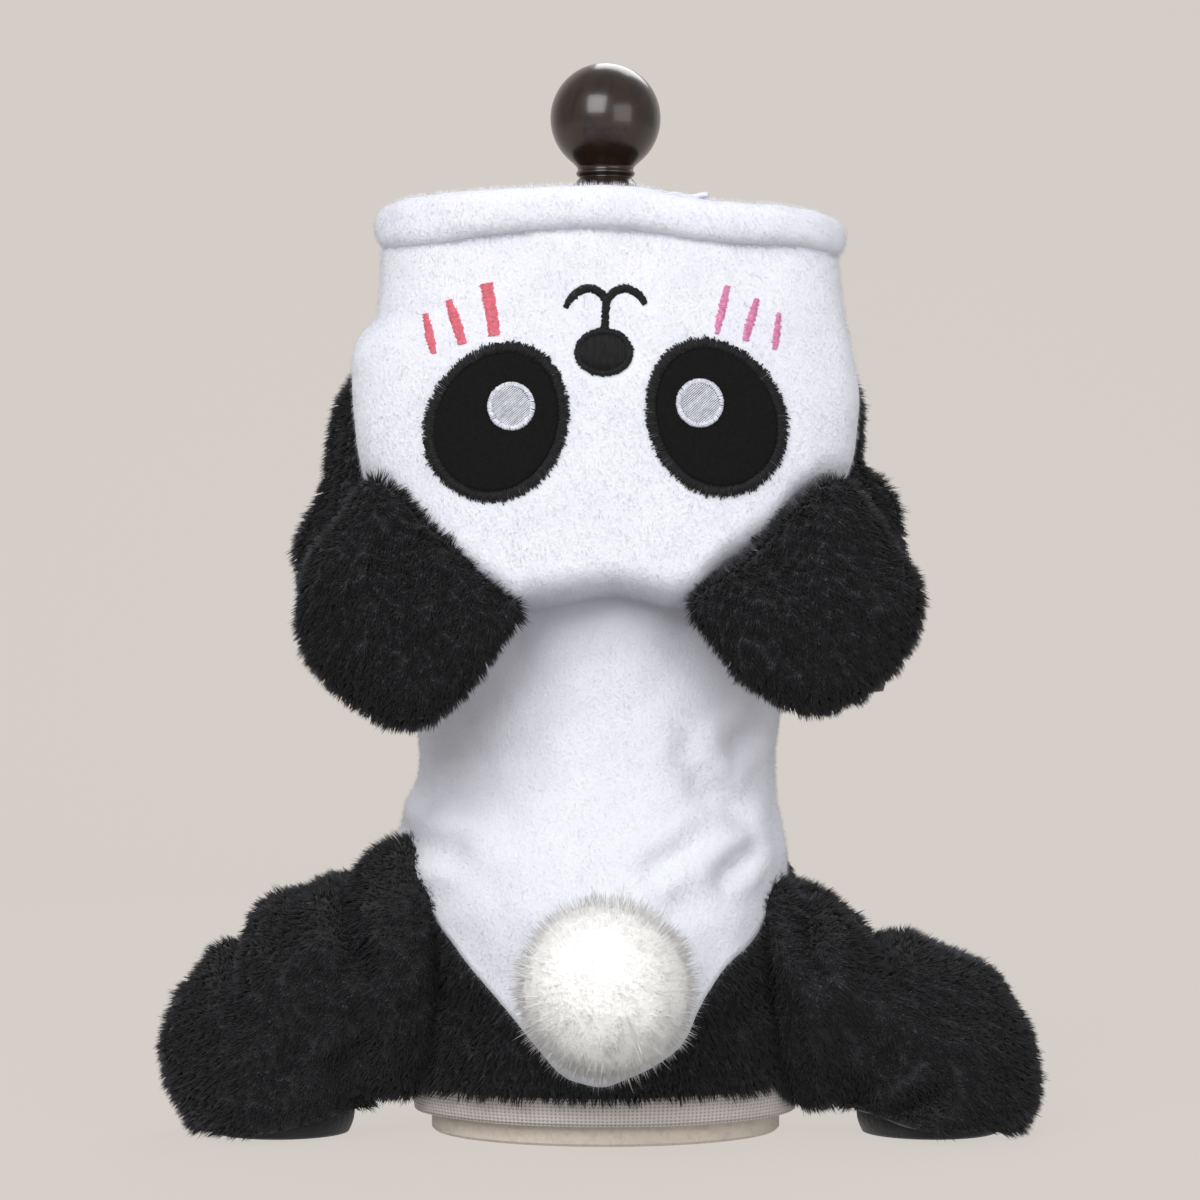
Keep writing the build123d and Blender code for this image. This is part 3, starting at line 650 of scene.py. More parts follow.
def nearest_lock(place: Array, centres: Array) -> Array:
    """Index of each place's nearest centre, worked out a block of places at a time."""
    found = np.empty(len(place), int)
    square = (centres**2).sum(axis=1)
    for begin in range(0, len(place), 4096):
        block = place[begin:begin + 4096]
        found[begin:begin + 4096] = np.argmin(square - 2.0 * block @ centres.T, axis=1)
    return found


def grow_pile(name: str, skin: Skin, pile: Pile, count: int, finish: list[bpy.types.Material],
              seed: int, nap: tuple[float, float, float] = (0.0, 0.0, -1.0),
              weight: Optional[Callable[[Array], Array]] = None) -> bpy.types.Object:
    """A piece of many tufts, each a closed sliver of four faces, rooted just under a skin.

    A tip is the root plus the normal times the length, tipped along the nap by the lean,
    drawn towards its lock's middle by the gather, and moved at random by the stray.

    Args:
        name: the piece's name.
        skin: the cloth's outer surface.
        pile: how the tufts stand.
        count: how many tufts.
        finish: one material for each shade.
        seed: of the random numbers.
        nap: the direction in which the pile is brushed.
        weight: density at a place, if it isn't even.
    """
    rng = np.random.default_rng(seed)
    place, normal = scatter(skin, count, rng, weight)
    brushed = np.array(nap) - normal * (normal @ np.array(nap))[:, None]
    area = area_of(skin) / (MM * MM)
    locks = max(8, int(area / pile.lock**2))
    centres = scatter(skin, locks, rng, weight)[0]
    lock = nearest_lock(place, centres)
    draw = centres[lock] - place
    draw -= normal * (draw * normal).sum(axis=1, keepdims=True)
    reach = np.linalg.norm(draw, axis=1, keepdims=True)
    draw *= np.minimum(1.0, 1.2 * pile.lock / np.maximum(reach, 1e-6))
    length = pile.length * rng.normal(1.0, 0.13, (count, 1)) * rng.normal(1.0, 0.10, (locks, 1))[lock]
    lock_way = rng.normal(0.0, 0.5 * pile.stray, (locks, 3))[lock]
    way = unit(normal + pile.lean * brushed + lock_way + rng.normal(0.0, pile.stray, (count, 3)) * 0.6)
    tip = place + way * length + draw * pile.gather
    lift = ((tip - place) * normal).sum(axis=1, keepdims=True)
    tip += normal * np.maximum(pile.rise * length - lift, 0.0)
    side = unit(np.cross(normal, rng.normal(size=(count, 3))))
    other = np.cross(normal, side)
    half = 0.5 * pile.width * rng.uniform(0.8, 1.25, (count, 1))
    root = place - 0.5 * normal
    spread = [(0.0, 1.0), (0.866, -0.5), (-0.866, -0.5)]
    foot = [root + half * (a * side + b * other) for a, b in spread]
    points = np.stack([*foot, tip], axis=1).reshape(-1, 3)
    pattern = np.array([[0, 2, 1], [0, 1, 3], [1, 2, 3], [2, 0, 3]])
    faces = (4 * np.arange(count)[:, None, None] + pattern).reshape(-1, 3)
    item = piece_from(name, points, faces)
    for material in finish:
        item.data.materials.append(material)
    shade = rng.choice(len(finish), count, p=[0.5, 0.3, 0.2])
    item.data.polygons.foreach_set("material_index", np.repeat(shade, len(pattern)).astype(np.int32))
    return item


# --------------------------------------------------------------------------- attaching


@dataclass(frozen=True)
class Follow:
    """What a piece moves with: one body, or two bodies between which it would bend; no bend is set up, and such
    a piece is only baked in place.

    Attributes:
        body: the body it rides on, or leaves.
        onto: the body it would reach if it bent; when given, the piece is baked in place.
        start: where the bend would start, in millimetres; not used.
        end: where the bend would end; not used.
    """

    body: str
    onto: Optional[str] = None
    start: tuple[float, float, float] = (0.0, 0.0, 0.0)
    end: tuple[float, float, float] = (0.0, 0.0, 0.0)

    def take(self, item: bpy.types.Object) -> None:
        """Attach the piece to its body, or, when onto is given, bake its transform in place."""
        if self.onto is None:
            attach(item, self.body)
        else:
            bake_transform(item)


def fit_out(item: bpy.types.Object, follow: Follow,
            material: Optional[bpy.types.Material] = None, nodes: Sequence[str] = ()) -> bpy.types.Object:
    """Give a piece its finish, its body and the CAD nodes that it stands for."""
    if material is not None:
        item.data.materials.append(material)
    follow.take(item)
    if nodes:
        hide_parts(*nodes)
    log.info("%s: %d faces", item.name, len(item.data.polygons))
    return item


@dataclass
class PlushPart:
    """One panel of plush: its backing cloth and the pile on it.

    Attributes:
        name: the panel's name.
        skin: the backing's outer surface.
        black: whether it is black plush.
        tufts: how many tufts stand on it.
        follow: what it moves with.
        nodes: the CAD nodes that it stands for.
        thickness: of the backing.
        nap: the direction in which the pile is brushed.
        seed: of its random numbers.
        held: how the sheet is held; not used.
        weight: density of the pile at a place, if it isn't even.
        rests_on: the piece that the panel lies on; not used.
    """

    name: str
    skin: Skin
    black: bool
    tufts: int
    follow: Follow
    nodes: Sequence[str]
    thickness: float = 1.6
    nap: tuple[float, float, float] = (0.0, 0.0, -1.0)
    seed: int = 1
    held: str = "stretched"
    weight: Optional[Callable[[Array], Array]] = None
    rests_on: str = "form_knit_cover"

    def make(self, palette: Palette) -> None:
        cloth = palette.black_cloth if self.black else palette.white_cloth
        backing = cloth_piece(f"{self.name}_cloth", self.skin, self.thickness)
        fit_out(backing, self.follow, cloth, self.nodes)
        shades = palette.black_pile if self.black else palette.white_pile
        pile = BLACK_PILE if self.black else WHITE_PILE
        tufts = grow_pile(f"{self.name}_pile", self.skin, pile, self.tufts, shades, self.seed,
                          self.nap, self.weight)
        fit_out(tufts, self.follow)
        declare_sheet(backing, self.skin)


# --------------------------------------------------------------------------- display form


@dataclass
class DisplayForm:
    """Knit-covered form with its wooden neck cap and turned knob, in millimetres."""

    foot_z: float = 8.0
    neck_z: float = 335.0
    half_widths: Knots = ((8, 70.5), (14, 71.4), (60, 67.0), (106, 61.4), (132, 57.8), (194, 59.2),
                          (263, 57.0), (302, 47.4), (322, 34.0), (335, 30.2))
    half_depths: Knots = ((8, 58.4), (14, 59.2), (60, 57.4), (106, 53.4), (132, 50.0), (194, 49.4),
                          (263, 47.6), (302, 41.2), (322, 33.6), (335, 30.2))
    knit_thickness: float = 1.2
    stitch_wide: float = 1.6
    stitch_high: float = 1.3

    def knit_skin(self) -> Skin:
        """The knit's outer surface: ovals whose half axes follow the form's curves."""
        height = np.linspace(self.foot_z, self.neck_z, 110)[:, None]
        angle = np.linspace(0.0, TAU, 144, endpoint=False)[None, :]
        wide = through(self.half_widths, height)
        deep = through(self.half_depths, height)
        points = np.stack([wide * np.cos(angle), deep * np.sin(angle), height + 0.0 * angle], axis=-1)
        return Skin(points, wrap=True).ruffled(0.25, 40.0, 3)

    def build(self, palette: Palette) -> None:
        """Make the knit cover and the wooden pieces, and finish the plain ones."""
        skin = self.knit_skin()
        knit = piece_from("form_knit_cover", *skin.shell(self.knit_thickness))
        self._map_stitches(knit)
        fit_out(knit, Follow("root"), palette.knit, ["torso_knit"])
        declare_sheet(knit, skin)
        self._knob(palette)
        self._cap(palette)
        plain = {"base_board": palette.board, "torso_shell": palette.shell, "finial_stud": palette.steel,
                 "stud_nut": palette.steel, "tail_tie": palette.cord, "pompom_knot": palette.cord,
                 "snap_sockets": palette.snap}
        for node, material in plain.items():
            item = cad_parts[node]
            item.data.materials.clear()
            item.data.materials.append(material)

    def _map_stitches(self, knit: bpy.types.Object) -> None:
        """Lay a map whose units are stitches: one across is a wale, one up is a course."""
        mesh = knit.data
        spots = np.empty(len(mesh.vertices) * 3, np.float32)
        mesh.vertices.foreach_get("co", spots)
        spots = spots.reshape(-1, 3) / MM
        corner = np.empty(len(mesh.loops), np.int32)
        mesh.loops.foreach_get("vertex_index", corner)
        turn = np.arctan2(spots[:, 1], spots[:, 0]) / TAU
        around = turn[corner].reshape(-1, 4)
        around += around < around.max(axis=1, keepdims=True) - 0.5
        wales = round(TAU * 62.0 / self.stitch_wide)
        layer = mesh.uv_layers.new(name="stitch")
        flat = np.stack([around.ravel() * wales, spots[corner, 2] / self.stitch_high], axis=-1)
        layer.data.foreach_set("uv", flat.astype(np.float32).ravel())

    def _knob(self, palette: Palette) -> None:
        """The turned knob: flared foot, groove, waist and ball."""
        low, _ = (np.array(corner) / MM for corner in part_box("finial_knob"))
        foot = low[2]
        radius, centre = 20.4, foot + 27.9
        sweep = np.radians(np.linspace(-52.0, 90.0, 48))
        ball = np.stack([radius * np.cos(sweep), centre + radius * np.sin(sweep)], axis=-1)
        lower = through(((0.0, 12.8), (1.4, 13.2), (2.6, 12.6), (4.2, 11.0), (5.2, 10.2), (5.9, 9.6),
                         (6.5, 10.4), (7.4, 10.9), (8.6, 10.3), (9.8, 10.6), (11.2, 11.9)),
                        np.linspace(0.0, 11.2, 40))
        stem = np.stack([lower, foot + np.linspace(0.0, 11.2, 40)], axis=-1)
        profile = np.vstack([[[0.0, foot]], stem, ball[1:-1], [[0.0, centre + radius]]])
        knob = lathe("turned_knob", profile)
        fit_out(knob, Follow("finial"), palette.wood, ["finial_knob"])

    def _cap(self, palette: Palette) -> None:
        """The turned cap on the neck, with a rounded upper edge and a cove below it."""
        low, high = (np.array(corner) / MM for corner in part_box("neck_cap"))
        rim = high[0]
        turn = np.radians(np.linspace(0.0, 90.0, 12))
        edge = np.stack([rim - 4.0 + 4.0 * np.cos(turn), high[2] - 4.0 + 4.0 * np.sin(turn)], axis=-1)
        profile = np.vstack([[[0.0, low[2]], [rim - 3.5, low[2]], [rim - 2.6, low[2] + 1.8],
                              [rim - 0.6, low[2] + 2.6], [rim, low[2] + 3.6]], edge,
                             [[0.0, high[2]]]])
        cap = lathe("turned_neck_cap", profile)
        fit_out(cap, Follow("root"), palette.wood, ["neck_cap"])


# --------------------------------------------------------------------------- suit's body


def outward(points: Array, wrap: bool, centre: Array) -> Skin:
    """A skin whose normals point away from a centre, or from one centre for each row."""
    skin = Skin(points, wrap)
    away = ((points - centre) * skin.normals).sum()
    return skin if away > 0 else Skin(points, wrap, flip=True)


@dataclass
class SuitBody:
    """The suit's torso: ovals round the form, cut into panels along its seams.

    Turn 0 is the middle of the back, minus is to the left of someone looking at it, and 180
    is the belly's middle.
    """

    left_widths: Knots = ((18, 74.0), (40, 74.5), (60, 75.0), (80, 75.5), (98, 77.0), (106, 76.5),
                          (114, 74.5), (121, 72.0), (130, 68.5), (138, 68.0), (150, 69.5), (172, 69.0),
                          (194, 67.0), (263, 65.0), (302, 55.4), (319, 43.5))
    right_widths: Knots = ((18, 74.0), (40, 73.5), (60, 72.5), (80, 69.5), (93, 67.5), (102, 66.8),
                           (110, 64.5), (118, 63.0), (128, 62.5), (140, 63.5), (155, 65.0), (175, 66.0),
                           (194, 66.5), (263, 65.0), (302, 55.4), (319, 43.5))
    depths: Knots = ((18, 68.0), (40, 68.4), (60, 67.6), (85, 66.6), (106, 63.5), (120, 59.5), (132, 57.5),
                     (160, 58.0), (194, 57.5), (263, 55.5), (302, 49.5), (319, 43.6))
    seam: Knots = ((-180, 108), (-122, 108), (-90, 102), (-70, 91), (-53.6, 80), (-41.3, 65.5),
                   (-31.6, 54), (-19.4, 37.5), (-12.3, 27.5), (-6, 24.5), (0, 23.6), (5, 26), (16.5, 33),
                   (21.8, 38.5), (27, 51), (34, 62), (48.9, 73), (65.7, 87), (78.5, 94), (90, 97),
                   (122, 108), (180, 108))
    hem: float = 19.0
    top: float = 318.0
    placket_half_width: float = 9.0
    placket_ends: tuple[float, float] = (112.0, 313.0)
    snap_radius: float = 5.0
    snap_ends: tuple[float, float] = (133.1, 292.4)
    collar_height: float = 17.0
    collar_radius: float = 42.6
    shoulder: float = 232.0
    side_turn: float = 96.0
    creases: tuple[Crease, ...] = (
        Crease((-74, -8, 109), (-52, -48, 104), 4.2, 6.0),
        Crease((-70, -20, 118), (-38, -54, 128), 1.9, 6.5),
        Crease((-40, -56, 96), (-62, -38, 88), 1.6, 6.0),
        Crease((14, -67, 98), (38, -54, 113), 3.2, 4.6),
        Crease((41, -52, 97), (55, -40, 104), 5.0, 4.4),
        Crease((27, -56, 147), (36, -50, 126), 3.0, 6.0),
        Crease((36, -50, 128), (50, -40, 119), 3.4, 5.5),
        Crease((20, -66, 84), (50, -46, 92), 1.6, 5.0),
        Crease((46, -44, 140), (58, -24, 152), 2.2, 6.0),
        Crease((-22, -58, 158), (-34, -54, 134), 1.5, 8.0),
        Crease((-62, -34, 60), (-44, -52, 44), 2.2, 6.0),
        Crease((54, -44, 56), (40, -58, 40), 2.2, 6.0),
        Crease((66, -20, 72), (60, -36, 48), 2.4, 6.0),
    )

    def surface(self, turn: Array, height: Array, out: Array | float = 0.0) -> Array:
        """Points of the suit's outer surface.

        x is the half width on that side times the sine of the turn; y is minus the half
        depth times its cosine.

        Args:
            turn: degrees from the back's middle.
            height: millimetres above the table.
            out: added to the half axes.
        """
        left, right = through(self.left_widths, height), through(self.right_widths, height)
        angle = np.radians(turn)
        share = 0.5 + 0.5 * np.tanh(2.2 * np.sin(angle))
        wide = left * (1.0 - share) + right * share
        deep = through(self.depths, height)
        return np.stack([(wide + out) * np.sin(angle), -(deep + out) * np.cos(angle),
                         height + 0.0 * turn], axis=-1)

    def panel(self, turns: tuple[float, float], low: Callable[[Array], Array],
              high: Callable[[Array], Array], step: float = 3.2, seed: int = 5) -> Skin:
        """A panel between two turns and between two heights that depend on the turn."""
        columns = max(6, int(abs(turns[1] - turns[0]) * 1.25 / step))
        turn = np.linspace(*turns, columns)[None, :]
        floor, roof = low(turn), high(turn)
        rows = max(5, int(float((roof - floor).max()) / step))
        share = np.linspace(0.0, 1.0, rows)[:, None]
        height = floor + (roof - floor) * share
        hem_curl = -2.2 * np.exp(-((height - self.hem) / 2.5) ** 2)
        points = self.surface(turn, height, hem_curl)
        skin = outward(points, False, points.mean(axis=1, keepdims=True) * [0, 0, 1])
        return skin.ruffled(0.9, 46.0, seed).ruffled(0.35, 17.0, seed + 1).creased(self.creases)

    def _flat(self, value: float) -> Callable[[Array], Array]:
        """The same height at every turn."""
        return lambda turn: np.full(turn.shape, value)

    def _thinner_under_hood(self, spots: Array) -> Array:
        """Density of the back's pile: about a third of the rest where the hood covers it."""
        return 0.35 + 0.65 / (1.0 + np.exp((spots[:, 2] - 205.0) / 8.0))

    def _seam(self, turn: Array) -> Array:
        """Height of the seam between white and black."""
        return through(self.seam, turn)

    def build(self, palette: Palette) -> None:
        """Make every panel of the torso."""
        root = Follow("root")
        back_high = self._flat(self.top)
        back = self.panel((-self.side_turn, self.side_turn), self._seam, back_high)
        PlushPart("back_panel", back, False, 42000, root, ["back_panel"], seed=11,
                  weight=self._thinner_under_hood).make(palette)
        for side in Side:
            sign, word = side.sign, side.word
            ends = sorted((sign * self.side_turn, sign * 179.0))
            belly = self.panel((ends[0], ends[1]), self._seam, self._flat(self.top), 4.2)
            PlushPart(f"{word}_belly_panel", belly, False, 14000, root, [f"{word}_belly_panel"],
                      seed=21 + sign).make(palette)
            ends = sorted((sign * 0.0, sign * 179.5))
            rump = self.panel((ends[0], ends[1]), self._flat(self.hem), self._seam, 3.2)
            PlushPart(f"{word}_rump_panel", rump, True, 26000, root, [f"{word}_rump_panel"],
                      seed=31 + sign).make(palette)
            self._shoulder(side, palette)
        self._placket(palette)
        self._collar(palette)
        self._nape(palette)

    def _shoulder(self, side: Side, palette: Palette) -> None:
        """A black shoulder piece lying over the body's side above the sleeve seam."""
        sign, word = side.sign, side.word
        turn = np.linspace(sign * 132.0, sign * 48.0, 40)[None, :]
        share = np.linspace(0.0, 1.0, 26)[:, None]
        middle = 1.0 - ((turn - sign * 90.0) / 42.0) ** 2
        floor = self.shoulder + 0.0 * turn + 14.0 * (1.0 - middle)
        roof = 268.0 + 46.0 * np.clip(middle, 0.0, 1.0) ** 0.5 + 0.0 * turn
        points = self.surface(turn, floor + (np.minimum(roof, 313.0) - floor) * share, 1.3)
        skin = outward(points, False, points.mean(axis=1, keepdims=True) * [0, 0, 1])
        PlushPart(f"{word}_shoulder_panel", skin.ruffled(0.3, 22.0, 7), True, 7000, Follow("root"),
                  [f"{word}_shoulder_panel"], seed=41 + sign, thickness=1.2).make(palette)

    def _placket(self, palette: Palette) -> None:
        """The belly's closing strip and its domed snaps."""
        height = np.linspace(*self.placket_ends, 90)[:, None]
        across = np.linspace(-1.0, 1.0, 15)[None, :]
        turn = 180.0 + np.degrees(np.arcsin(self.placket_half_width * across / 66.0)) + 0.0 * height
        lift = 1.7 * (1.0 - across**6) + 0.5 + 0.25 * np.cos(TAU * height / 8.0)
        points = self.surface(turn, height + 0.0 * across, lift)
        skin = outward(points, False, points.mean(axis=1, keepdims=True) * [1, 0, 1])
        strip = cloth_piece("belly_placket_strip", skin, 1.6)
        fit_out(strip, Follow("root"), palette.white_cloth, ["belly_placket"])
        declare_sheet(strip, skin)
        turns, arc = 28, 1.45 * np.linspace(0.0, 1.0, 7)
        dome = np.stack([self.snap_radius * np.cos(arc), 0.6 + 1.3 * np.sin(arc)], axis=-1)[1:]
        profile = np.vstack([[[0.0, -0.8], [self.snap_radius, -0.8], [self.snap_radius, 0.6]], dome,
                             [[0.0, 1.92]]])
        angle = np.linspace(0.0, TAU, turns, endpoint=False)
        spots, faces = [], []
        grid = Skin(np.stack([profile[:, None, 0] * np.cos(angle), profile[:, None, 1] + 0.0 * angle,
                              profile[:, None, 0] * np.sin(angle)], axis=-1), wrap=True)
        for number, place in enumerate(np.linspace(*self.snap_ends, 5)):
            centre = self.surface(np.array([180.0]), np.array([place]), 2.2)[0]
            spots.append(grid.points.reshape(-1, 3) + centre)
            faces.append(grid.quads(number * grid.points.shape[0] * turns))
        caps = welded(piece_from("snap_domes", np.vstack(spots), np.vstack(faces)), 0.003)
        fit_out(caps, Follow("root"), palette.snap, ["snap_caps"])

    def _collar(self, palette: Palette) -> None:
        """The standing collar: a soft ribbed band with a rolled upper edge."""
        turn = np.linspace(-180.0, 180.0, 361)[:-1][None, :]
        share = np.linspace(0.0, 1.0, 22)[:, None]
        height = 317.0 + self.collar_height * share
        bulge = 2.4 * np.sin(math.pi * share) ** 0.7 + 0.45 * np.cos(np.radians(turn) * 90.0)
        radius = self.collar_radius - 2.2 * share + bulge
        points = np.stack([radius * np.sin(np.radians(turn)), -radius * np.cos(np.radians(turn)),
                           height + 0.0 * turn], axis=-1)
        skin = outward(points, True, points.mean(axis=1, keepdims=True))
        band = piece_from("collar_band", *skin.shell(2.0))
        fit_out(band, Follow("root"), palette.white_cloth, ["collar"])
        declare_sheet(band, skin)

    def _nape(self, palette: Palette) -> None:
        """The gusset by which the hood hangs from the collar's back."""
        across = np.linspace(-1.0, 1.0, 60)[None, :]
        share = np.linspace(0.0, 1.0, 24)[:, None]
        x = 38.5 * across * (1.0 - 0.06 * share)
        start = -np.sqrt(np.maximum(42.0**2 - (38.5 * across) ** 2, 60.0))
        y = start + (-60.6 - start) * share
        z = 333.0 + 6.5 * np.sin(math.pi * share * 0.62) + 0.5 * np.cos(across * 19.0)
        points = np.stack([x + 0.0 * share, y, z + 0.0 * across], axis=-1)
        skin = outward(points, False, points.mean(axis=(0, 1)) - np.array([0, 0, 60.0]))
        follow = Follow("root", "hood", (0.0, -40.0, 336.0), (0.0, -61.0, 340.0))
        gusset = cloth_piece("nape_gusset_cloth", skin, 1.8)
        fit_out(gusset, follow, palette.white_cloth, ["nape_gusset"])
        declare_sheet(gusset, skin)


def declare_sheet(item: bpy.types.Object, skin: Skin) -> None:
    """Work out a cloth piece's cut width and length, measured along the skin, and log them."""
    area = area_of(skin)
    across = np.linalg.norm(np.diff(skin.points, axis=1), axis=-1).sum(axis=1)
    along = np.linalg.norm(np.diff(skin.points, axis=0), axis=-1).sum(axis=0)
    width, length = float(across.max()) * MM, float(along.max()) * MM
    if area > width * length:
        width, length = (side * math.sqrt(area / (width * length)) for side in (width, length))
    log.info("%s: cut %.0f x %.0f mm", item.name, width / MM, length / MM)


def ring_band(name: str, skin: Skin, thickness: float, follow: Follow, palette: Palette, node: str) -> None:
    """A black ribbed band at the end of a limb.

    Args:
        name: the piece's name.
        skin: its outer surface.
        thickness: of the band.
        follow: what it moves with.
        palette: the finishes.
        node: the CAD node that it stands for.
    """
    band = piece_from(name, *skin.shell(thickness))
    fit_out(band, follow, palette.black_cloth, [node])
    declare_sheet(band, skin)


# --------------------------------------------------------------------------- limbs


@dataclass
class HindLeg:
    """A hind leg that spreads over the table and turns down into its foot.

    It is straight from the hip to the pivot, then turns about the pivot's line through a
    quarter circle; across is its outline's distance from the pivot at each angle from
    upright.
    """

    side: Side
    across: Knots
    top: Knots
    low: Knots
    creases: tuple[Crease, ...]
    pivot_x: float = 84.0
    pivot_z: float = 12.0
    hip_x: float = 54.0
    hip_depths: Knots = ((54, 20.0), (60, 27.0), (68, 33.5), (76, 36.0), (84, 35.0))
    seed: int = 51

    def skin(self) -> Skin:
        """The leg's outer surface: rings from the hip round to the foot's opening."""
        columns = 68
        around = np.linspace(0.0, TAU, columns, endpoint=False)
        cosine, sine = squared(around, 0.86)
        rings = []
        for x in np.linspace(self.hip_x, self.pivot_x, 12)[:-1]:
            high, low = float(through(self.top, np.array(x))), float(through(self.low, np.array(x)))
            t = (x - self.hip_x) / (self.pivot_x - self.hip_x)
            middle, deep = -12.0 - 2.0 * t, float(through(self.hip_depths, np.array(x)))
            rings.append(np.stack([np.full(columns, x), middle - deep * sine,
                                   0.5 * (high + low) + 0.5 * (high - low) * cosine], axis=-1))
        for angle in np.linspace(0.0, 92.0, 38):
            reach = float(through(self.across, np.array(angle)))
            inner = 2.5
            half = 0.5 * (reach - inner)
            t = angle / 92.0
            middle, deep = -14.0 - 2.0 * t, 35.0 - 3.5 * t
            outwards = inner + half + half * cosine
            rad = math.radians(angle)
            rings.append(np.stack([self.pivot_x + outwards * math.sin(rad), middle - deep * sine,
                                   self.pivot_z + outwards * math.cos(rad)], axis=-1))
        points = np.array(rings)
        droop = np.clip((points[..., 0] - self.pivot_x) / 40.0, 0.0, 1.0)
        points[..., 2] -= 8.0 * droop * droop * (3 - 2 * droop) * np.clip(1.0 - points[..., 2] / 60.0, 0.0, 1.0)
        points[..., 0] *= self.side.sign
        skin = outward(points, True, points.mean(axis=1, keepdims=True))
        skin = skin.ruffled(1.3, 38.0, self.seed).ruffled(0.6, 15.0, self.seed + 1).creased(self.creases)
        skin.points[..., 2] = np.maximum(skin.points[..., 2], 2.6)
        return Skin(skin.points, True, skin.flip)

    def build(self, palette: Palette) -> None:
        """Make the leg and the band at its foot."""
        word, sign = self.side.word, self.side.sign
        follow = Follow("root", f"{word}_leg", (62.0 * sign, -10.0, 60.0), (90.0 * sign, -10.0, 60.0))
        skin = self.skin()
        PlushPart(f"{word}_leg", skin, True, 36000, follow, [f"{word}_hind_leg"], held="laid",
                  nap=(0.75 * sign, -0.1, -0.65), seed=self.seed + 2).make(palette)
        around = np.linspace(0.0, TAU, 120, endpoint=False)[None, :]
        height = np.linspace(11.0, 1.0, 12)[:, None]
        share = (11.0 - height) / 10.0
        radius = 26.0 - 1.5 * share**2 + 0.35 * np.cos(around * 40.0) * (1.0 - share)
        radius = radius + 0.6 * np.sin(share * math.pi)
        centre = np.array([118.4 * sign, -16.0])
        points = np.stack([centre[0] + radius * np.cos(around), centre[1] + radius * np.sin(around),
                           height + 0.0 * around], axis=-1)
        cuff_skin = outward(points, True, points.mean(axis=1, keepdims=True))
        ring_band(f"{word}_foot_band", cuff_skin, 2.0, Follow(f"{word}_leg"), palette,
                  f"{word}_hind_leg_cuff")


@dataclass
class Sleeve:
    """A front-leg sleeve that hangs beside the body, fuller towards its cuff."""

    side: Side
    outer: Knots
    inner: Knots = ((172, 70.5), (200, 69.6), (240, 69.4), (272, 69.8), (284, 71.0))
    half_depths: Knots = ((172, 20.0), (180, 23.5), (206, 25.0), (240, 24.5), (272, 20.0), (284, 11.0))
    middle_y: float = -8.0
    seed: int = 71

    def skin(self) -> Skin:
        """The sleeve's outer surface: rings from a closed top down to the cuff."""
        around = np.linspace(0.0, TAU, 72, endpoint=False)[None, :]
        height = np.concatenate([[284.0, 283.8], np.linspace(283.0, 172.0, 44)])[:, None]
        wide = through(self.outer, height) - through(self.inner, height)
        middle = 0.5 * (through(self.outer, height) + through(self.inner, height))
        closing = np.clip((284.0 - height) / 7.0, 0.0, 1.0) ** 0.5
        cosine, sine = squared(around, 0.85)
        x = middle + 0.5 * wide * closing * cosine
        y = self.middle_y - through(self.half_depths, height) * closing * sine
        points = np.stack([self.side.sign * x, y, height + 0.0 * around], axis=-1)
        skin = outward(points, True, points.mean(axis=1, keepdims=True) - np.array([0, 0, 1.0]))
        sign = self.side.sign
        folds = (Crease((sign * 96, -26, 262), (sign * 104, -30, 214), 2.4, 5.0),
                 Crease((sign * 84, -32, 250), (sign * 90, -34, 196), 2.0, 5.0),
                 Crease((sign * 100, -4, 244), (sign * 112, -10, 224), 2.2, 5.0))
        return skin.ruffled(0.8, 30.0, self.seed).creased(folds)

    def build(self, palette: Palette) -> None:
        """Make the sleeve and its cuff."""
        word, sign = self.side.word, self.side.sign
        follow = Follow("root", f"{word}_sleeve", (66.0 * sign, -8.0, 288.0), (84.0 * sign, -8.0, 262.0))
        PlushPart(f"{word}_sleeve", self.skin(), True, 21000, follow, [f"{word}_sleeve"], held="hung",
                  nap=(0.1 * sign, 0.0, -1.0), seed=self.seed + 2).make(palette)
        around = np.linspace(0.0, TAU, 108, endpoint=False)[None, :]
        height = np.linspace(173.0, 161.5, 10)[:, None]
        share = (173.0 - height) / 11.5
        rib = 0.35 * np.cos(around * 36.0)
        wide, deep = 15.2 + 1.2 * np.sin(share * math.pi) + rib, 20.0 + 1.2 * np.sin(share * math.pi) + rib
        points = np.stack([sign * (86.6 + wide * np.cos(around)), self.middle_y + deep * np.sin(around),
                           height + 0.0 * around], axis=-1)
        cuff_skin = outward(points, True, points.mean(axis=1, keepdims=True))
        ring_band(f"{word}_sleeve_band", cuff_skin, 1.8, Follow(f"{word}_sleeve"), palette,
                  f"{word}_sleeve_cuff")


# --------------------------------------------------------------------------- hood


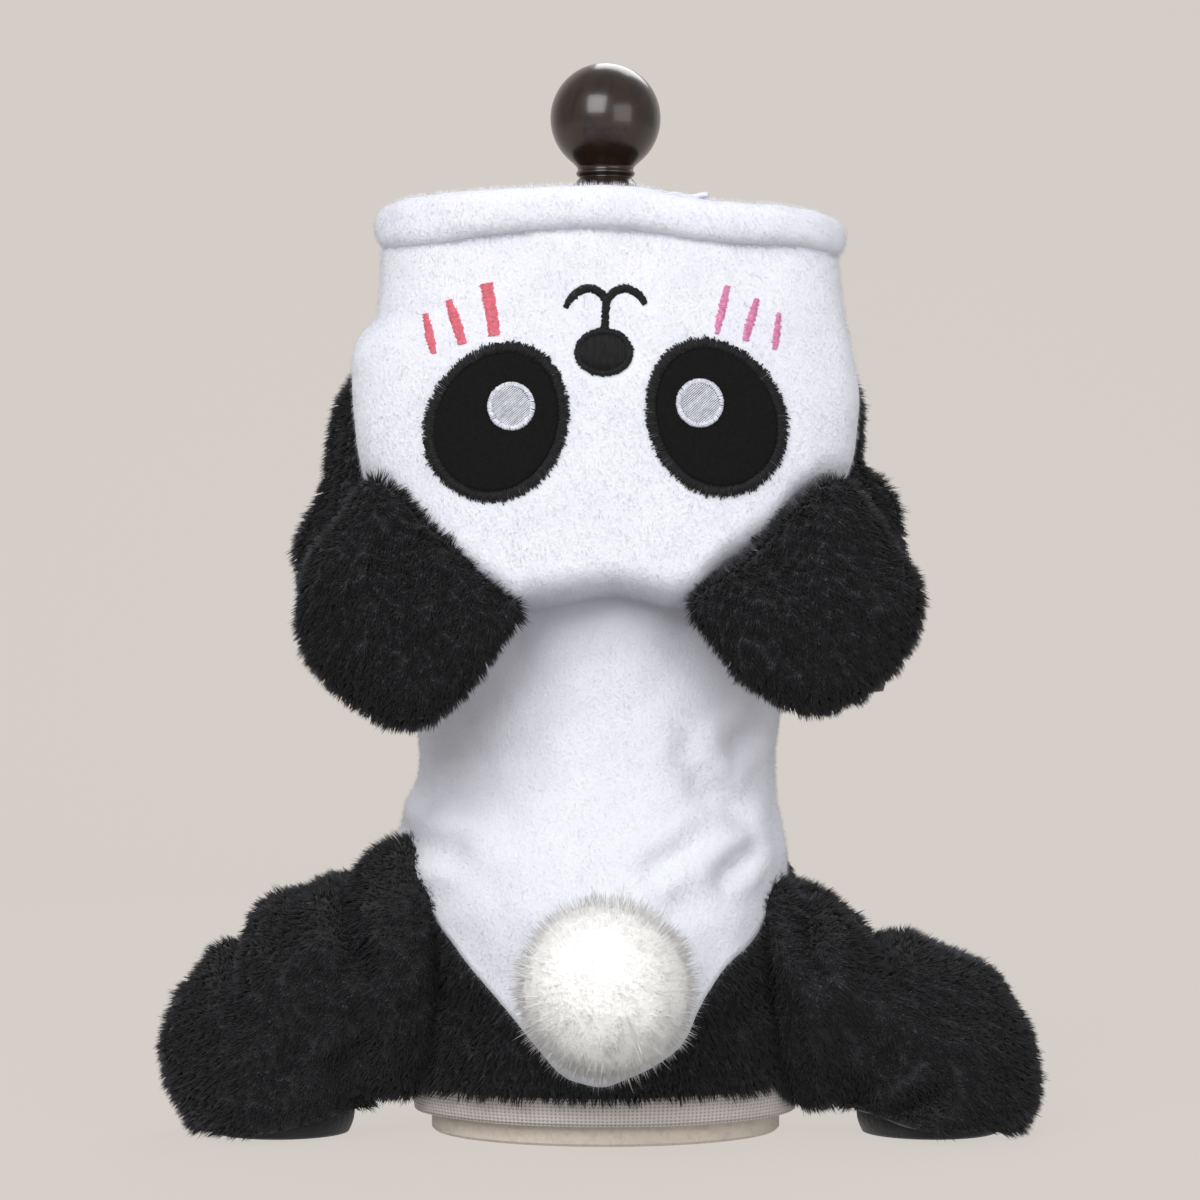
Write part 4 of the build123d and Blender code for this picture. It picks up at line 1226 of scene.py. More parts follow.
@dataclass
class HoodShape:
    """The hanging hood: a height field over its upright back sheet.

    How far the face stands in front of the back sheet falls away towards the sides and
    towards the lower edge.
    """

    left_widths: Knots = ((189, 82.0), (226, 84.0), (238, 85.5), (248, 87.5), (258, 88.6), (272, 89.5),
                          (282, 89.0), (288, 86.0), (293, 81.5), (300, 80.0), (316, 79.0), (340, 78.5))
    right_widths: Knots = ((189, 80.0), (226, 82.0), (237, 84.5), (244, 87.0), (255, 88.6), (267, 89.4),
                           (276, 88.2), (293, 84.6), (311, 82.4), (340, 82.0))
    bottom: Knots = ((-92, 241.5), (-86.3, 238.5), (-81.8, 235.5), (-74.5, 228.0), (-64.8, 217.8),
                     (-53.8, 207.6), (-45.1, 200.3), (-37.2, 194.8), (-31.6, 191.4), (-26.1, 192.6),
                     (-15.7, 193.9), (-5.4, 195.8), (1.6, 196.8), (11.9, 195.6), (22.3, 193.2),
                     (28.9, 194.4), (39.6, 204.4), (51.7, 213.0), (59.6, 219.4), (63.4, 224.8),
                     (71.4, 232.0), (76.9, 235.6), (83, 237.5), (92, 241.0))
    back_y: float = -65.0
    bulge: float = 26.4
    top: float = 326.0
    fall: float = 13.0

    def widths(self, height: Array, right: Array) -> Array:
        """Half width at a height on the left or the right."""
        return np.where(right, through(self.right_widths, height), through(self.left_widths, height))

    def depth(self, x: Array, z: Array) -> Array:
        """y of the face's cloth at a place over the back sheet.

        One minus a power of the place's share of the half width, times one minus a power of
        its closeness to the lower edge, each to a power under one so that both edges round
        over.
        """
        share = np.clip(np.abs(x) / self.widths(z, x > 0), 0.0, 1.0)
        near = 1.0 - np.clip((z - through(self.bottom, x)) / self.fall, 0.0, 1.0)
        fullness = (1.0 - share**2.7) ** 0.5 * (1.0 - near**2.4) ** 0.5
        waves = 0.8 * np.sin(x / 13.0 + z / 31.0) + 0.6 * np.sin(x / 27.0 - z / 17.0 + 1.0)
        pull = np.exp(-(((z - 318.0) / 10.0) ** 2)) * 1.1 * np.sin(x / 8.0 + 0.6)
        return self.back_y - self.bulge * fullness + (waves + pull) * fullness**2 * 0.55

    def place(self, x: Array, z: Array) -> tuple[Array, Array]:
        """Points on the face over (x, z) and the outward unit normals there."""
        step = 0.4
        slope_x = (self.depth(x + step, z) - self.depth(x - step, z)) / (2 * step)
        slope_z = (self.depth(x, z + step) - self.depth(x, z - step)) / (2 * step)
        points = np.stack([x, self.depth(x, z), z], axis=-1)
        return points, unit(np.stack([slope_x, -np.ones_like(x), slope_z], axis=-1))

    def flat_grid(self, columns: int, rows: int) -> tuple[Array, Array]:
        """(x, z) of a grid over the hood, close-set at its sides and lower edge."""
        u = np.sin(0.5 * math.pi * np.linspace(-1.0, 1.0, columns))[None, :]
        v = np.sin(0.5 * math.pi * np.linspace(0.0, 1.0, rows))[:, None]
        x = 88.0 * u + 0.0 * v
        for _ in range(8):
            z = self.top + (through(self.bottom, x) - self.top) * v
            x = u * self.widths(z, u + 0.0 * v > 0)
        return x, z

    def face_skin(self) -> Skin:
        """The face's outer surface."""
        x, z = self.flat_grid(110, 84)
        points = np.stack([x, self.depth(x, z), z], axis=-1)
        return outward(points, False, points + np.array([0.0, 30.0, 0.0]))


@dataclass
class Hood:
    """Face, lining, back sheet and rolled brim of the hood."""

    shape: HoodShape
    bare: Callable[[Array], Array]
    brim_top: Knots = ((-78, 331.0), (-71.3, 334.4), (-57.4, 336.2), (-36.6, 337.2), (-15.8, 338.4),
                       (-1.9, 338.6), (12, 337.8), (29.3, 334.6), (50.1, 332.0), (64, 331.8), (72.7, 330.6),
                       (80, 328.0))
    brim_low: Knots = ((-78, 318.6), (-61, 318.4), (-43.5, 321.0), (-19.3, 322.8), (1.6, 323.8),
                       (18.9, 321.8), (29.3, 319.4), (43.2, 318.6), (67.5, 318.2), (80, 315.8))
    brim_depth: float = 12.0

    def build(self, palette: Palette) -> None:
        """Make the hood's four parts."""
        ride = Follow("hood")
        face = self.shape.face_skin()
        PlushPart("hood_face", face, False, 42000, ride, ["hood_face"], held="hung", seed=81,
                  weight=self.bare).make(palette)
        inner = Skin(face.points - face.normals * 2.3, False, face.flip)
        lining = cloth_piece("hood_lining_cloth", inner, 0.9)
        fit_out(lining, ride, palette.lining, ["hood_lining"])
        declare_sheet(lining, inner)
        self._back(palette)
        self._brim(palette)

    def _back(self, palette: Palette) -> None:
        """The flat sheet that closes the hood towards the suit's back."""
        x, z = self.shape.flat_grid(72, 60)
        rise = np.clip((z - 189.0) / (self.shape.top - 189.0), 0.0, 1.0)
        z = z + rise**3 * (through(self.brim_top, x) - 2.5 - self.shape.top)
        y = -62.6 + 0.35 * np.sin(x / 9.0) * np.sin(z / 21.0)
        points = np.stack([x, y, z], axis=-1)
        skin = outward(points, False, points + np.array([0.0, -30.0, 0.0]))
        PlushPart("hood_back", skin, False, 10000, Follow("hood"), ["hood_back"], held="hung",
                  thickness=1.4, seed=83).make(palette)

    def _brim(self, palette: Palette) -> None:
        """The rolled edge: rounded sections along the face's upper contour, closed at its ends."""
        rows, columns = 170, 40
        u = np.sin(0.5 * math.pi * np.linspace(-1.0, 1.0, 900))
        half = np.where(u > 0, 80.0, 77.0)
        x, y = u * half, -64.0 - 27.0 * (1.0 - np.abs(u) ** 2.9) ** 0.5
        run = np.concatenate([[0.0], np.cumsum(np.hypot(np.diff(x), np.diff(y)))])
        along = np.linspace(0.0, run[-1], rows)
        x, y = np.interp(along, run, x), np.interp(along, run, y)
        tangent = unit(np.stack([np.gradient(x), np.gradient(y)], axis=-1))
        normal = np.stack([tangent[:, 1], -tangent[:, 0]], axis=-1)
        normal *= np.sign((normal * np.stack([x, y + 40.0], axis=-1)).sum(axis=1, keepdims=True))
        tip = np.minimum(along, run[-1] - along)
        close = np.sqrt(np.clip(1.0 - (1.0 - np.minimum(tip / 9.0, 1.0)) ** 2, 0.0, 1.0))
        high, low = through(self.brim_top, x), through(self.brim_low, x)
        around = np.linspace(0.0, TAU, columns, endpoint=False)[None, :]
        cosine, sine = squared(around, 0.78)
        reach = 0.5 * self.brim_depth * close[:, None] * cosine - 0.6
        rise = 0.5 * (high + low)[:, None] + 0.5 * (high - low)[:, None] * close[:, None] * sine
        points = np.stack([x[:, None] + normal[:, :1] * reach, y[:, None] + normal[:, 1:] * reach, rise],
                          axis=-1)
        skin = outward(points, True, points.mean(axis=1, keepdims=True))
        skin = skin.ruffled(0.35, 40.0, 85).ruffled(0.15, 14.0, 86)
        roll = welded(piece_from("hood_brim_cloth", skin.points.reshape(-1, 3), skin.quads()), 0.01)
        fit_out(roll, Follow("hood"), palette.white_cloth, ["hood_brim"])
        tufts = grow_pile("hood_brim_pile", skin, WHITE_PILE, 17000, palette.white_pile, 87)
        fit_out(tufts, Follow("hood"))


# --------------------------------------------------------------------------- embroidery


@dataclass(frozen=True)
class Oval:
    """An egg-shaped patch on the face.

    Attributes:
        x: its middle.
        z: its middle.
        long: half its length.
        short: half its width.
        tilt: degrees that its length leans from upright.
        egg: how much narrower its upper end is.
    """

    x: float
    z: float
    long: float
    short: float
    tilt: float = 0.0
    egg: float = 0.0

    def edge(self, angle: Array, grow: Array | float = 0.0) -> Array:
        """(x, z) of its edge at an angle, moved outwards by grow."""
        rad = math.radians(self.tilt)
        up = (self.long + grow) * np.cos(angle)
        side = (self.short + grow) * np.sin(angle) * (1.0 - self.egg * np.cos(angle))
        return np.stack([self.x + side * math.cos(rad) + up * math.sin(rad),
                         self.z - side * math.sin(rad) + up * math.cos(rad)], axis=-1)

    def inside(self, x: Array, z: Array, grow: float = 0.0) -> Array:
        """Whether places lie within the edge moved outwards by grow."""
        rad = math.radians(self.tilt)
        side = (x - self.x) * math.cos(rad) - (z - self.z) * math.sin(rad)
        up = (x - self.x) * math.sin(rad) + (z - self.z) * math.cos(rad)
        share = up / (self.long + grow)
        return (side / ((self.short + grow) * (1.0 - self.egg * share))) ** 2 + share**2 < 1.0


@dataclass(frozen=True)
class Stroke:
    """A satin-stitched line: a path of (x, z, width) knots."""

    knots: tuple[tuple[float, float, float], ...]

    def sample(self, count: int) -> tuple[Array, Array, Array]:
        """Middles (n, 2), unit cross directions (n, 2) and widths along the path."""
        knots = np.array(self.knots, float)
        gap = np.linalg.norm(np.diff(knots[:, :2], axis=0), axis=1)
        run = np.concatenate([[0.0], np.cumsum(gap)])
        at = np.linspace(0.0, run[-1], count)
        x, z, width = (through(list(zip(run, knots[:, n])), at) for n in range(3))
        way = unit(np.stack([np.gradient(x), np.gradient(z)], axis=-1))
        return np.stack([x, z], axis=-1), np.stack([-way[:, 1], way[:, 0]], axis=-1), width

    @property
    def length(self) -> float:
        """Path length."""
        knots = np.array(self.knots, float)
        return float(np.linalg.norm(np.diff(knots[:, :2], axis=0), axis=1).sum())

    def inside(self, x: Array, z: Array, grow: float) -> Array:
        """Whether places lie within the line widened by grow on each side."""
        middle, _, width = self.sample(24)
        away = np.hypot(x[:, None] - middle[:, 0], z[:, None] - middle[:, 1]) - 0.5 * width
        return away.min(axis=1) < grow


class Needle:
    """Lays satin stitches on the hood's face."""

    def __init__(self, shape: HoodShape, seed: int) -> None:
        """Work on a face, with seeded small irregularities."""
        self.shape = shape
        self.rng = np.random.default_rng(seed)

    def stitches(self, name: str, start: Array, end: Array, width: float, lift: float, crown: float,
                 floor: float = 0.0) -> bpy.types.Object:
        """Threads from start to end, each a three-sided bar whose height follows an arch.

        Args:
            name: the piece's name.
            start: (n, 2) places of one end, as (x, z).
            end: (n, 2) places of the other end.
            width: of a thread.
            lift: height of a thread's ends over the cloth.
            crown: how much higher its middle is.
            floor: height of what it lies on.
        """
        share = np.array([0.0, 0.1, 0.3, 0.5, 0.7, 0.9, 1.0])
        arch = floor + lift + crown * np.sin(math.pi * share) ** 0.7
        arch[[0, -1]] = floor - 0.25
        count, steps = len(start), len(share)
        flat = start[:, None] + (end - start)[:, None] * share[None, :, None]
        spot, normal = self.shape.place(flat[..., 0], flat[..., 1])
        way = unit(spot[:, -1] - spot[:, 0])[:, None]
        side = unit(np.cross(way, normal))
        top = arch[None, :, None] + self.rng.normal(0.0, 0.04, (count, 1, 1))
        half = 0.5 * width * self.rng.uniform(0.85, 1.1, (count, 1, 1))
        base = spot + normal * (top - 0.8 * width)
        ring = np.stack([base - side * half, spot + normal * top, base + side * half], axis=2)
        points = ring.reshape(-1, 3)
        index = np.arange(count * steps * 3).reshape(count, steps, 3)
        following = np.roll(index, -1, axis=2)
        quads = np.stack([index[:, :-1], following[:, :-1], following[:, 1:], index[:, 1:]], axis=-1)
        item = piece_from(name, points, quads.reshape(-1, 4))
        work = bmesh.new()
        work.from_mesh(item.data)
        work.verts.ensure_lookup_table()
        for triple in np.vstack([index[:, 0], index[:, -1]]):
            work.faces.new([work.verts[int(number)] for number in triple])
        bmesh.ops.recalc_face_normals(work, faces=work.faces)
        work.to_mesh(item.data)
        work.free()
        return item

    def rim(self, name: str, oval: Oval, inner: float, outer: float, count: int, ragged: float,
            width: float, lift: float, crown: float, floor: float = 0.0) -> bpy.types.Object:
        """Satin border round an oval, its outer ends a little ragged."""
        angle = np.linspace(0.0, TAU, count, endpoint=False) + self.rng.normal(0.0, 0.25 * TAU / count, count)
        slant = 0.9 * TAU / count
        return self.stitches(name, oval.edge(angle, inner + self.rng.normal(0.0, 0.15, count)),
                             oval.edge(angle + slant, outer + self.rng.normal(0.0, ragged, count)),
                             width, lift, crown, floor)

    def fill(self, name: str, oval: Oval, direction: float, spacing: float, width: float, lift: float,
             floor: float = 0.0) -> bpy.types.Object:
        """Parallel threads across an oval."""
        rad = math.radians(direction)
        way, across = np.array([math.cos(rad), math.sin(rad)]), np.array([-math.sin(rad), math.cos(rad)])
        size = max(oval.long, oval.short)
        starts, ends = [], []
        for offset in np.arange(-size, size, spacing):
            run = np.linspace(-1.2 * size, 1.2 * size, 200)
            flat = np.array([oval.x, oval.z]) + offset * across + run[:, None] * way
            hit = oval.inside(flat[:, 0], flat[:, 1])
            if hit.sum() < 4:
                continue
            base = np.array([oval.x, oval.z]) + offset * across
            starts.append(base + (run[hit][0] + 0.05) * way)
            ends.append(base + (run[hit][-1] - 0.05) * way)
        return self.stitches(name, np.array(starts), np.array(ends), width, lift, 0.25, floor)

    def line(self, name: str, stroke: Stroke, spacing: float, width: float, ragged: float,
             crown: float = 0.5) -> bpy.types.Object:
        """Satin line: threads laid across a path."""
        count = max(5, int(stroke.length / spacing))
        middle, across, wide = stroke.sample(count)
        reach = 0.5 * wide[:, None]
        noise = self.rng.normal(0.0, ragged, (2, count, 1))
        return self.stitches(name, middle - across * (reach + noise[0]), middle + across * (reach + noise[1]),
                             width, 0.4, crown)


def together(name: str, items: Sequence[bpy.types.Object]) -> bpy.types.Object:
    """Several new pieces joined into one of a given name."""
    with bpy.context.temp_override(active_object=items[0], selected_editable_objects=list(items)):
        bpy.ops.object.join()
    items[0].name = items[0].data.name = name
    return items[0]


@dataclass
class FaceWork:
    """Eyes, nose, mouth and cheek stripes of the panda's face, which hangs upside down."""

    shape: HoodShape
    eyes: dict[Side, Oval] = field(default_factory=lambda: {
        Side.LEFT: Oval(-37.6, 256.8, 25.0, 21.0, 26.0, 0.06),
        Side.RIGHT: Oval(37.9, 258.4, 24.8, 20.4, -26.0, 0.06)})
    pupils: dict[Side, Oval] = field(default_factory=lambda: {
        Side.LEFT: Oval(-32.7, 262.0, 7.6, 7.4), Side.RIGHT: Oval(32.4, 263.1, 7.6, 7.4)})
    nose: Oval = Oval(-0.7, 280.7, 7.6, 9.4)
    mouth: tuple[Stroke, ...] = (
        Stroke(((-0.5, 287.5, 3.2), (-0.2, 293.5, 3.1), (0.2, 299.0, 3.2))),
        Stroke(((0.2, 298.6, 3.2), (-2.2, 301.4, 3.3), (-5.7, 302.9, 3.4), (-9.6, 301.6, 3.3),
                (-12.6, 298.8, 2.9), (-13.9, 296.2, 2.2))),
        Stroke(((0.2, 298.6, 3.2), (2.6, 301.4, 3.3), (6.1, 302.7, 3.4), (9.9, 301.6, 3.3),
                (12.2, 299.6, 2.9), (13.6, 297.4, 2.2))))
    stripes: dict[Side, tuple[Stroke, ...]] = field(default_factory=lambda: {
        Side.LEFT: (Stroke(((-62.8, 294.4, 2.0), (-61.4, 287.6, 3.3), (-59.7, 280.8, 2.4))),
                    Stroke(((-54.5, 299.0, 2.6), (-52.0, 291.4, 4.2), (-49.7, 283.9, 3.4))),
                    Stroke(((-41.4, 304.6, 5.0), (-39.9, 295.6, 4.8), (-38.6, 286.8, 4.6)))),
        Side.RIGHT: (Stroke(((42.1, 303.8, 2.0), (40.2, 295.6, 3.0), (38.3, 287.4, 1.8))),
                     Stroke(((52.4, 299.4, 2.0), (50.3, 292.2, 3.3), (48.3, 285.0, 2.4))),
                     Stroke(((60.0, 294.6, 1.6), (59.4, 288.4, 2.7), (58.6, 282.2, 1.8))))})

    def clear_of(self, spots: Array) -> Array:
        """Density of the face's pile: none under the embroidery, thinner just beside it."""
        x, z = spots[:, 0], spots[:, 2]
        covered = np.zeros(len(spots), bool)
        beside = np.zeros(len(spots), bool)
        for oval in [*self.eyes.values(), self.nose]:
            covered |= oval.inside(x, z, 2.6)
            beside |= oval.inside(x, z, 4.0)
        for stroke in [*self.mouth, *self.stripes[Side.LEFT], *self.stripes[Side.RIGHT]]:
            covered |= stroke.inside(x, z, 0.1)
        near_edge = z - through(self.shape.bottom, x) < 6.0
        return np.where(covered, 0.0, np.where(beside, 0.8, np.where(near_edge, 2.2, 1.0)))

    def build(self, palette: Palette) -> None:
        """Make every embroidered part."""
        needle = Needle(self.shape, 91)
        ride = Follow("hood")
        for side in Side:
            word, eye, pupil = side.word, self.eyes[side], self.pupils[side]
            fit_out(self._felt(f"{word}_eye_felt", eye), ride, palette.felt,
                    [f"{word}_eye_patch"])
            rim = needle.rim(f"{word}_eye_border", eye, -0.5, 3.6, 560, 0.5, 0.40, 0.75, 1.0)
            fit_out(rim, ride, palette.black_thread, [f"{word}_eye_rim"])
            shine = needle.fill(f"{word}_pupil_fill", pupil, 42.0, 0.62, 0.6, 0.5, 1.2)
            ring = needle.rim(f"{word}_pupil_ring", pupil, -1.0, 0.9, 150, 0.08, 0.5, 0.6, 0.5, 1.2)
            fit_out(together(f"{word}_pupil_satin", [shine, ring]), ride,
                    palette.white_thread, [f"{word}_pupil"])
            marks = [needle.line(f"{word}_stripe_{number}", stroke, 0.42, 0.52, 0.2)
                     for number, stroke in enumerate(self.stripes[side])]
            tint = palette.coral_thread if side is Side.LEFT else palette.pink_thread
            fit_out(together(f"{word}_cheek_satin", marks), ride, tint, [f"{word}_cheek_stripes"])
        fill = needle.fill("nose_fill", self.nose, 90.0, 0.40, 0.6, 0.9)
        ring = needle.rim("nose_ring", self.nose, -1.6, 0.9, 190, 0.2, 0.55, 0.7, 0.8)
        fit_out(together("nose_satin", [fill, ring]), ride, palette.black_thread, ["nose"])
        lines = [needle.line(f"mouth_{number}", stroke, 0.42, 0.54, 0.16)
                 for number, stroke in enumerate(self.mouth)]
        fit_out(together("mouth_satin", lines), ride, palette.black_thread, ["mouth"])

    def _felt(self, name: str, oval: Oval) -> bpy.types.Object:
        """A felt patch: rings from its middle to its edge, a little crowned."""
        share = np.linspace(0.0, 1.0, 18)[:, None]
        angle = np.linspace(0.0, TAU, 84, endpoint=False)[None, :]
        edge = oval.edge(angle + 0.0 * share)
        middle = np.array([oval.x, oval.z])
        flat = middle + (edge - middle) * share[..., None]
        spot, normal = self.shape.place(flat[..., 0], flat[..., 1])
        thick = 1.2 * (1.0 - 0.5 * share**8)
        skin = Skin(spot + normal * thick[..., None], wrap=True)
        if (skin.normals * normal).sum() < 0:
            skin = Skin(skin.points, True, flip=True)
        return cloth_piece(name, skin, 1.4)


# --------------------------------------------------------------------------- ears and tail


@dataclass
class Ear:
    """A stuffed ear sewn along the hood's lower edge, hanging upside down.

    Its outline is given along the seam, outwards, and away from the seam.
    """

    side: Side
    outline: Knots
    middle: tuple[float, float] = (-4.0, 27.0)
    seam: tuple[float, float] = (58.9, 213.0)
    half_thickness: float = 10.5
    middle_y: float = -83.0
    seed: int = 101

    def place_at(self, s: Array | float, t: Array | float, out: Array | float = 0.0) -> Array:
        """Places at s along the seam, t away from it and out in front of the ear's middle."""
        sign = self.side.sign
        along, down = (0.7467 * sign, 0.6652), (0.6652 * sign, -0.7467)
        return np.stack(np.broadcast_arrays(sign * self.seam[0] + s * along[0] + t * down[0],
                                            self.middle_y - out,
                                            self.seam[1] + s * along[1] + t * down[1]), axis=-1)

    def skin(self) -> Skin:
        """The ear's outer surface: rings from the front's middle over the edge to the back's middle."""
        ring = np.array(self.outline, float)
        turn = np.unwrap(np.arctan2(ring[:, 1] - self.middle[1], ring[:, 0] - self.middle[0]))
        reach = np.hypot(ring[:, 0] - self.middle[0], ring[:, 1] - self.middle[1])
        order = np.argsort(turn % TAU)
        turn, reach = (turn % TAU)[order], reach[order]
        turn = np.concatenate([turn[-3:] - TAU, turn, turn[:3] + TAU])
        reach = np.concatenate([reach[-3:], reach, reach[:3]])
        angle = np.linspace(0.0, TAU, 76, endpoint=False)[None, :]
        far = through(list(zip(turn, reach)), angle)
        over = np.linspace(0.0, math.pi, 36)[:, None]
        share = np.sin(over) ** 0.9
        thick = np.sign(np.cos(over)) * np.abs(np.cos(over)) ** 0.62 * self.half_thickness
        s = self.middle[0] + far * share * np.cos(angle)
        t = self.middle[1] + far * share * np.sin(angle)
        thin = 0.62 + 0.38 * np.clip((t + 4.0) / 26.0, 0.0, 1.0)
        points = self.place_at(s, t, thick * thin)
        skin = outward(points, True, points.mean(axis=(0, 1)))
        return skin.ruffled(0.9, 30.0, self.seed).ruffled(0.45, 13.0, self.seed + 1)

    def build(self, palette: Palette) -> None:
        """Make the ear and its pile."""
        word, sign = self.side.word, self.side.sign
        skin = self.skin()
        cushion = welded(piece_from(f"{word}_ear_cloth", skin.points.reshape(-1, 3), skin.quads()), 0.01)
        root, fold = (tuple(self.place_at(0.0, t)) for t in (-2.0, 22.0))
        follow = Follow("hood", f"{word}_ear", root, fold)
        fit_out(cushion, follow, palette.black_cloth,
                [f"{word}_ear_front", f"{word}_ear_back"])
        inner = skin.moved(np.full(skin.points.shape[:2], -2.6))
        filling = welded(piece_from(f"{word}_ear_filling", inner.points.reshape(-1, 3), inner.quads()), 0.01)
        fit_out(filling, follow, palette.stuffing, [f"{word}_ear_stuffing"])
        tufts = grow_pile(f"{word}_ear_pile", skin, BLACK_PILE, 24000, palette.black_pile, self.seed + 2,
                          (0.35 * sign, 0.0, -0.93))
        fit_out(tufts, follow)


@dataclass
class Pompom:
    """The tail: a ball of cut yarn, flattened where it lies against the suit."""

    centre: tuple[float, float, float] = (-0.2, -97.0, 61.0)
    core: float = 19.0
    filled: float = 9.8
    reach: float = 12.6
    yarn_width: float = 1.15
    flat_y: float = -73.5

    def build(self, palette: Palette) -> None:
        """Make the ball's core and its cut yarn."""
        over = np.linspace(0.0, math.pi, 30)[:, None]
        around = np.linspace(0.0, TAU, 48, endpoint=False)[None, :]
        ball = np.stack([np.sin(over) * np.cos(around), np.sin(over) * np.sin(around),
                         np.cos(over) + 0.0 * around], axis=-1)
        points = np.array(self.centre) + self.core * ball
        points[..., 1] = np.minimum(points[..., 1], self.flat_y - 2.0)
        skin = outward(points, True, np.array(self.centre))
        heart = skin.moved(np.full(points.shape[:2], self.filled))
        core = welded(piece_from("pompom_core", heart.points.reshape(-1, 3), skin.quads()), 0.01)
        fit_out(core, Follow("tail"), palette.yarn_core, ["tail_pompom"])
        yarn = Pile(length=self.reach, width=self.yarn_width, lean=0.05, stray=0.42, lock=2.4, gather=0.15)
        tufts = grow_pile("pompom_yarn", skin, yarn, 17000, palette.yarn, 111, (0.0, 0.0, -1.0))
        spots = np.empty(len(tufts.data.vertices) * 3, np.float32)
        tufts.data.vertices.foreach_get("co", spots)
        spots = spots.reshape(-1, 3)
        spots[:, 1] = np.minimum(spots[:, 1], self.flat_y * MM)
        tufts.data.vertices.foreach_set("co", spots.ravel())
        fit_out(tufts, Follow("tail"))


# --------------------------------------------------------------------------- picture


@dataclass(frozen=True)
class Studio:
    """A pale sweep, soft lights and a level camera behind the suit."""

    tone: tuple[float, float, float] = (0.678, 0.631, 0.591)
    distance: float = 1.400
    aside: float = -0.00204
    height: float = 0.195
    lens: float = 113.5

    def build(self) -> None:
        """Place the sweep, the lights and the camera."""
        self._sweep()
        self._area("key_light", (-0.6, -1.7, 1.15), (0.0, 0.0, 0.18), 1.3, 29.0)
        self._area("fill_light", (1.1, -1.5, 0.45), (0.0, 0.0, 0.16), 1.3, 10.0)
        self._area("rim_light", (0.3, 1.1, 1.5), (0.0, 0.0, 0.25), 1.0, 10.0)
        world = bpy.data.worlds.new("studio")
        world.use_nodes = True
        ground = world.node_tree.nodes["Background"]
        ground.inputs["Color"].default_value = (1.0, 0.97, 0.95, 1.0)
        ground.inputs["Strength"].default_value = 0.40
        bpy.context.scene.world = world
        eye = bpy.data.cameras.new("view")
        eye.lens, eye.sensor_width, eye.clip_end = self.lens, 36.0, 20.0
        camera = bpy.data.objects.new("view", eye)
        camera.location = (self.aside, -self.distance, self.height)
        camera.rotation_euler = (math.pi / 2, 0.0, 0.0)
        bpy.context.scene.collection.objects.link(camera)
        bpy.context.scene.camera = camera
        settings = bpy.context.scene.view_settings
        settings.view_transform, settings.look = "Standard", "None"

    def _sweep(self) -> None:
        """Floor and backdrop in one curved sheet of an even tone."""
        turn = np.radians(np.linspace(0.0, 90.0, 16))
        profile = np.vstack([[[-2.5, 0.0], [1.2, 0.0]],
                             np.stack([1.2 + 0.6 * np.sin(turn), 0.6 - 0.6 * np.cos(turn)], axis=-1)[1:],
                             [[1.8, 3.2]]]) / MM
        across = np.array([-2.6, 2.6]) / MM
        points = np.empty((len(profile), 2, 3))
        points[..., 0] = across
        points[..., 1:] = profile[:, None, :]
        skin = Skin(points)
        sheet = piece_from("sweep", points.reshape(-1, 3), skin.quads())
        nodes = Nodes("sweep_paper")
        nodes.set(Base_Color=(*(0.10 * part for part in self.tone), 1.0), Roughness=1.0,
                  Emission_Color=(*self.tone, 1.0), Emission_Strength=0.90, Specular_IOR_Level=0.0)
        sheet.data.materials.append(nodes.material)
        sheet.visible_diffuse = False

    def _area(self, name: str, place: tuple[float, float, float], aim: tuple[float, float, float],
              size: float, power: float) -> None:
        """A square area light pointed at a place."""
        light = bpy.data.lights.new(name, "AREA")
        light.size, light.energy = size, power
        item = bpy.data.objects.new(name, light)
        item.location = place
        item.rotation_euler = (Vector(aim) - Vector(place)).to_track_quat("-Z", "Y").to_euler()
        bpy.context.scene.collection.objects.link(item)


LEFT_LEG = HindLeg(
    Side.LEFT,
    across=((0, 85.5), (8, 82.5), (14, 79.5), (19, 80.5), (25, 81.2), (32, 79.2), (40, 75.4), (45, 76.0),
            (53, 78.6), (62, 80.6), (69, 80.0), (75.5, 77.2), (83.6, 70.5), (92, 64.0)),
    top=((58, 104.0), (70, 105.0), (78, 103.0), (84, 97.5)), low=((58, 20.0), (70, 15.0), (84, 13.5)),
    creases=(Crease((-93, -8, 99), (-95, -44, 84), 6.5, 5.5),
             Crease((-95, -44, 84), (-87, -50, 66), 6.0, 5.5),
             Crease((-131, -6, 76), (-136, -42, 58), 6.0, 5.5),
             Crease((-136, -42, 58), (-132, -50, 44), 4.5, 5.5),
             Crease((-112, -30, 90), (-118, -50, 70), 2.6, 6.0),
             Crease((-104, -50, 44), (-118, -48, 22), 2.8, 6.0),
             Crease((-84, -48, 40), (-100, -46, 24), 3.0, 7.0)))
RIGHT_LEG = HindLeg(
    Side.RIGHT,
    across=((0, 70.5), (4, 66.5), (12.6, 60.0), (20.7, 63.0), (28.4, 65.3), (40.3, 68.0), (51.8, 73.0),
            (62, 74.0), (70.4, 74.0), (77.5, 72.6), (84.5, 71.0), (92, 64.0)),
    top=((58, 92.0), (68, 91.5), (76, 87.0), (84, 82.5)), low=((58, 20.0), (70, 15.0), (84, 13.5)),
    creases=(Crease((68, -14, 91), (71, -42, 76), 5.5, 5.5), Crease((71, -42, 76), (76, -48, 60), 4.5, 5.5),
             Crease((97, -8, 74), (104, -44, 58), 5.5, 5.5), Crease((120, -49, 20), (98, -48, 9), 4.5, 5.0),
             Crease((112, -48, 56), (134, -44, 44), 2.2, 6.0), Crease((88, -50, 48), (100, -50, 28), 2.6, 7.0)),
    seed=61)
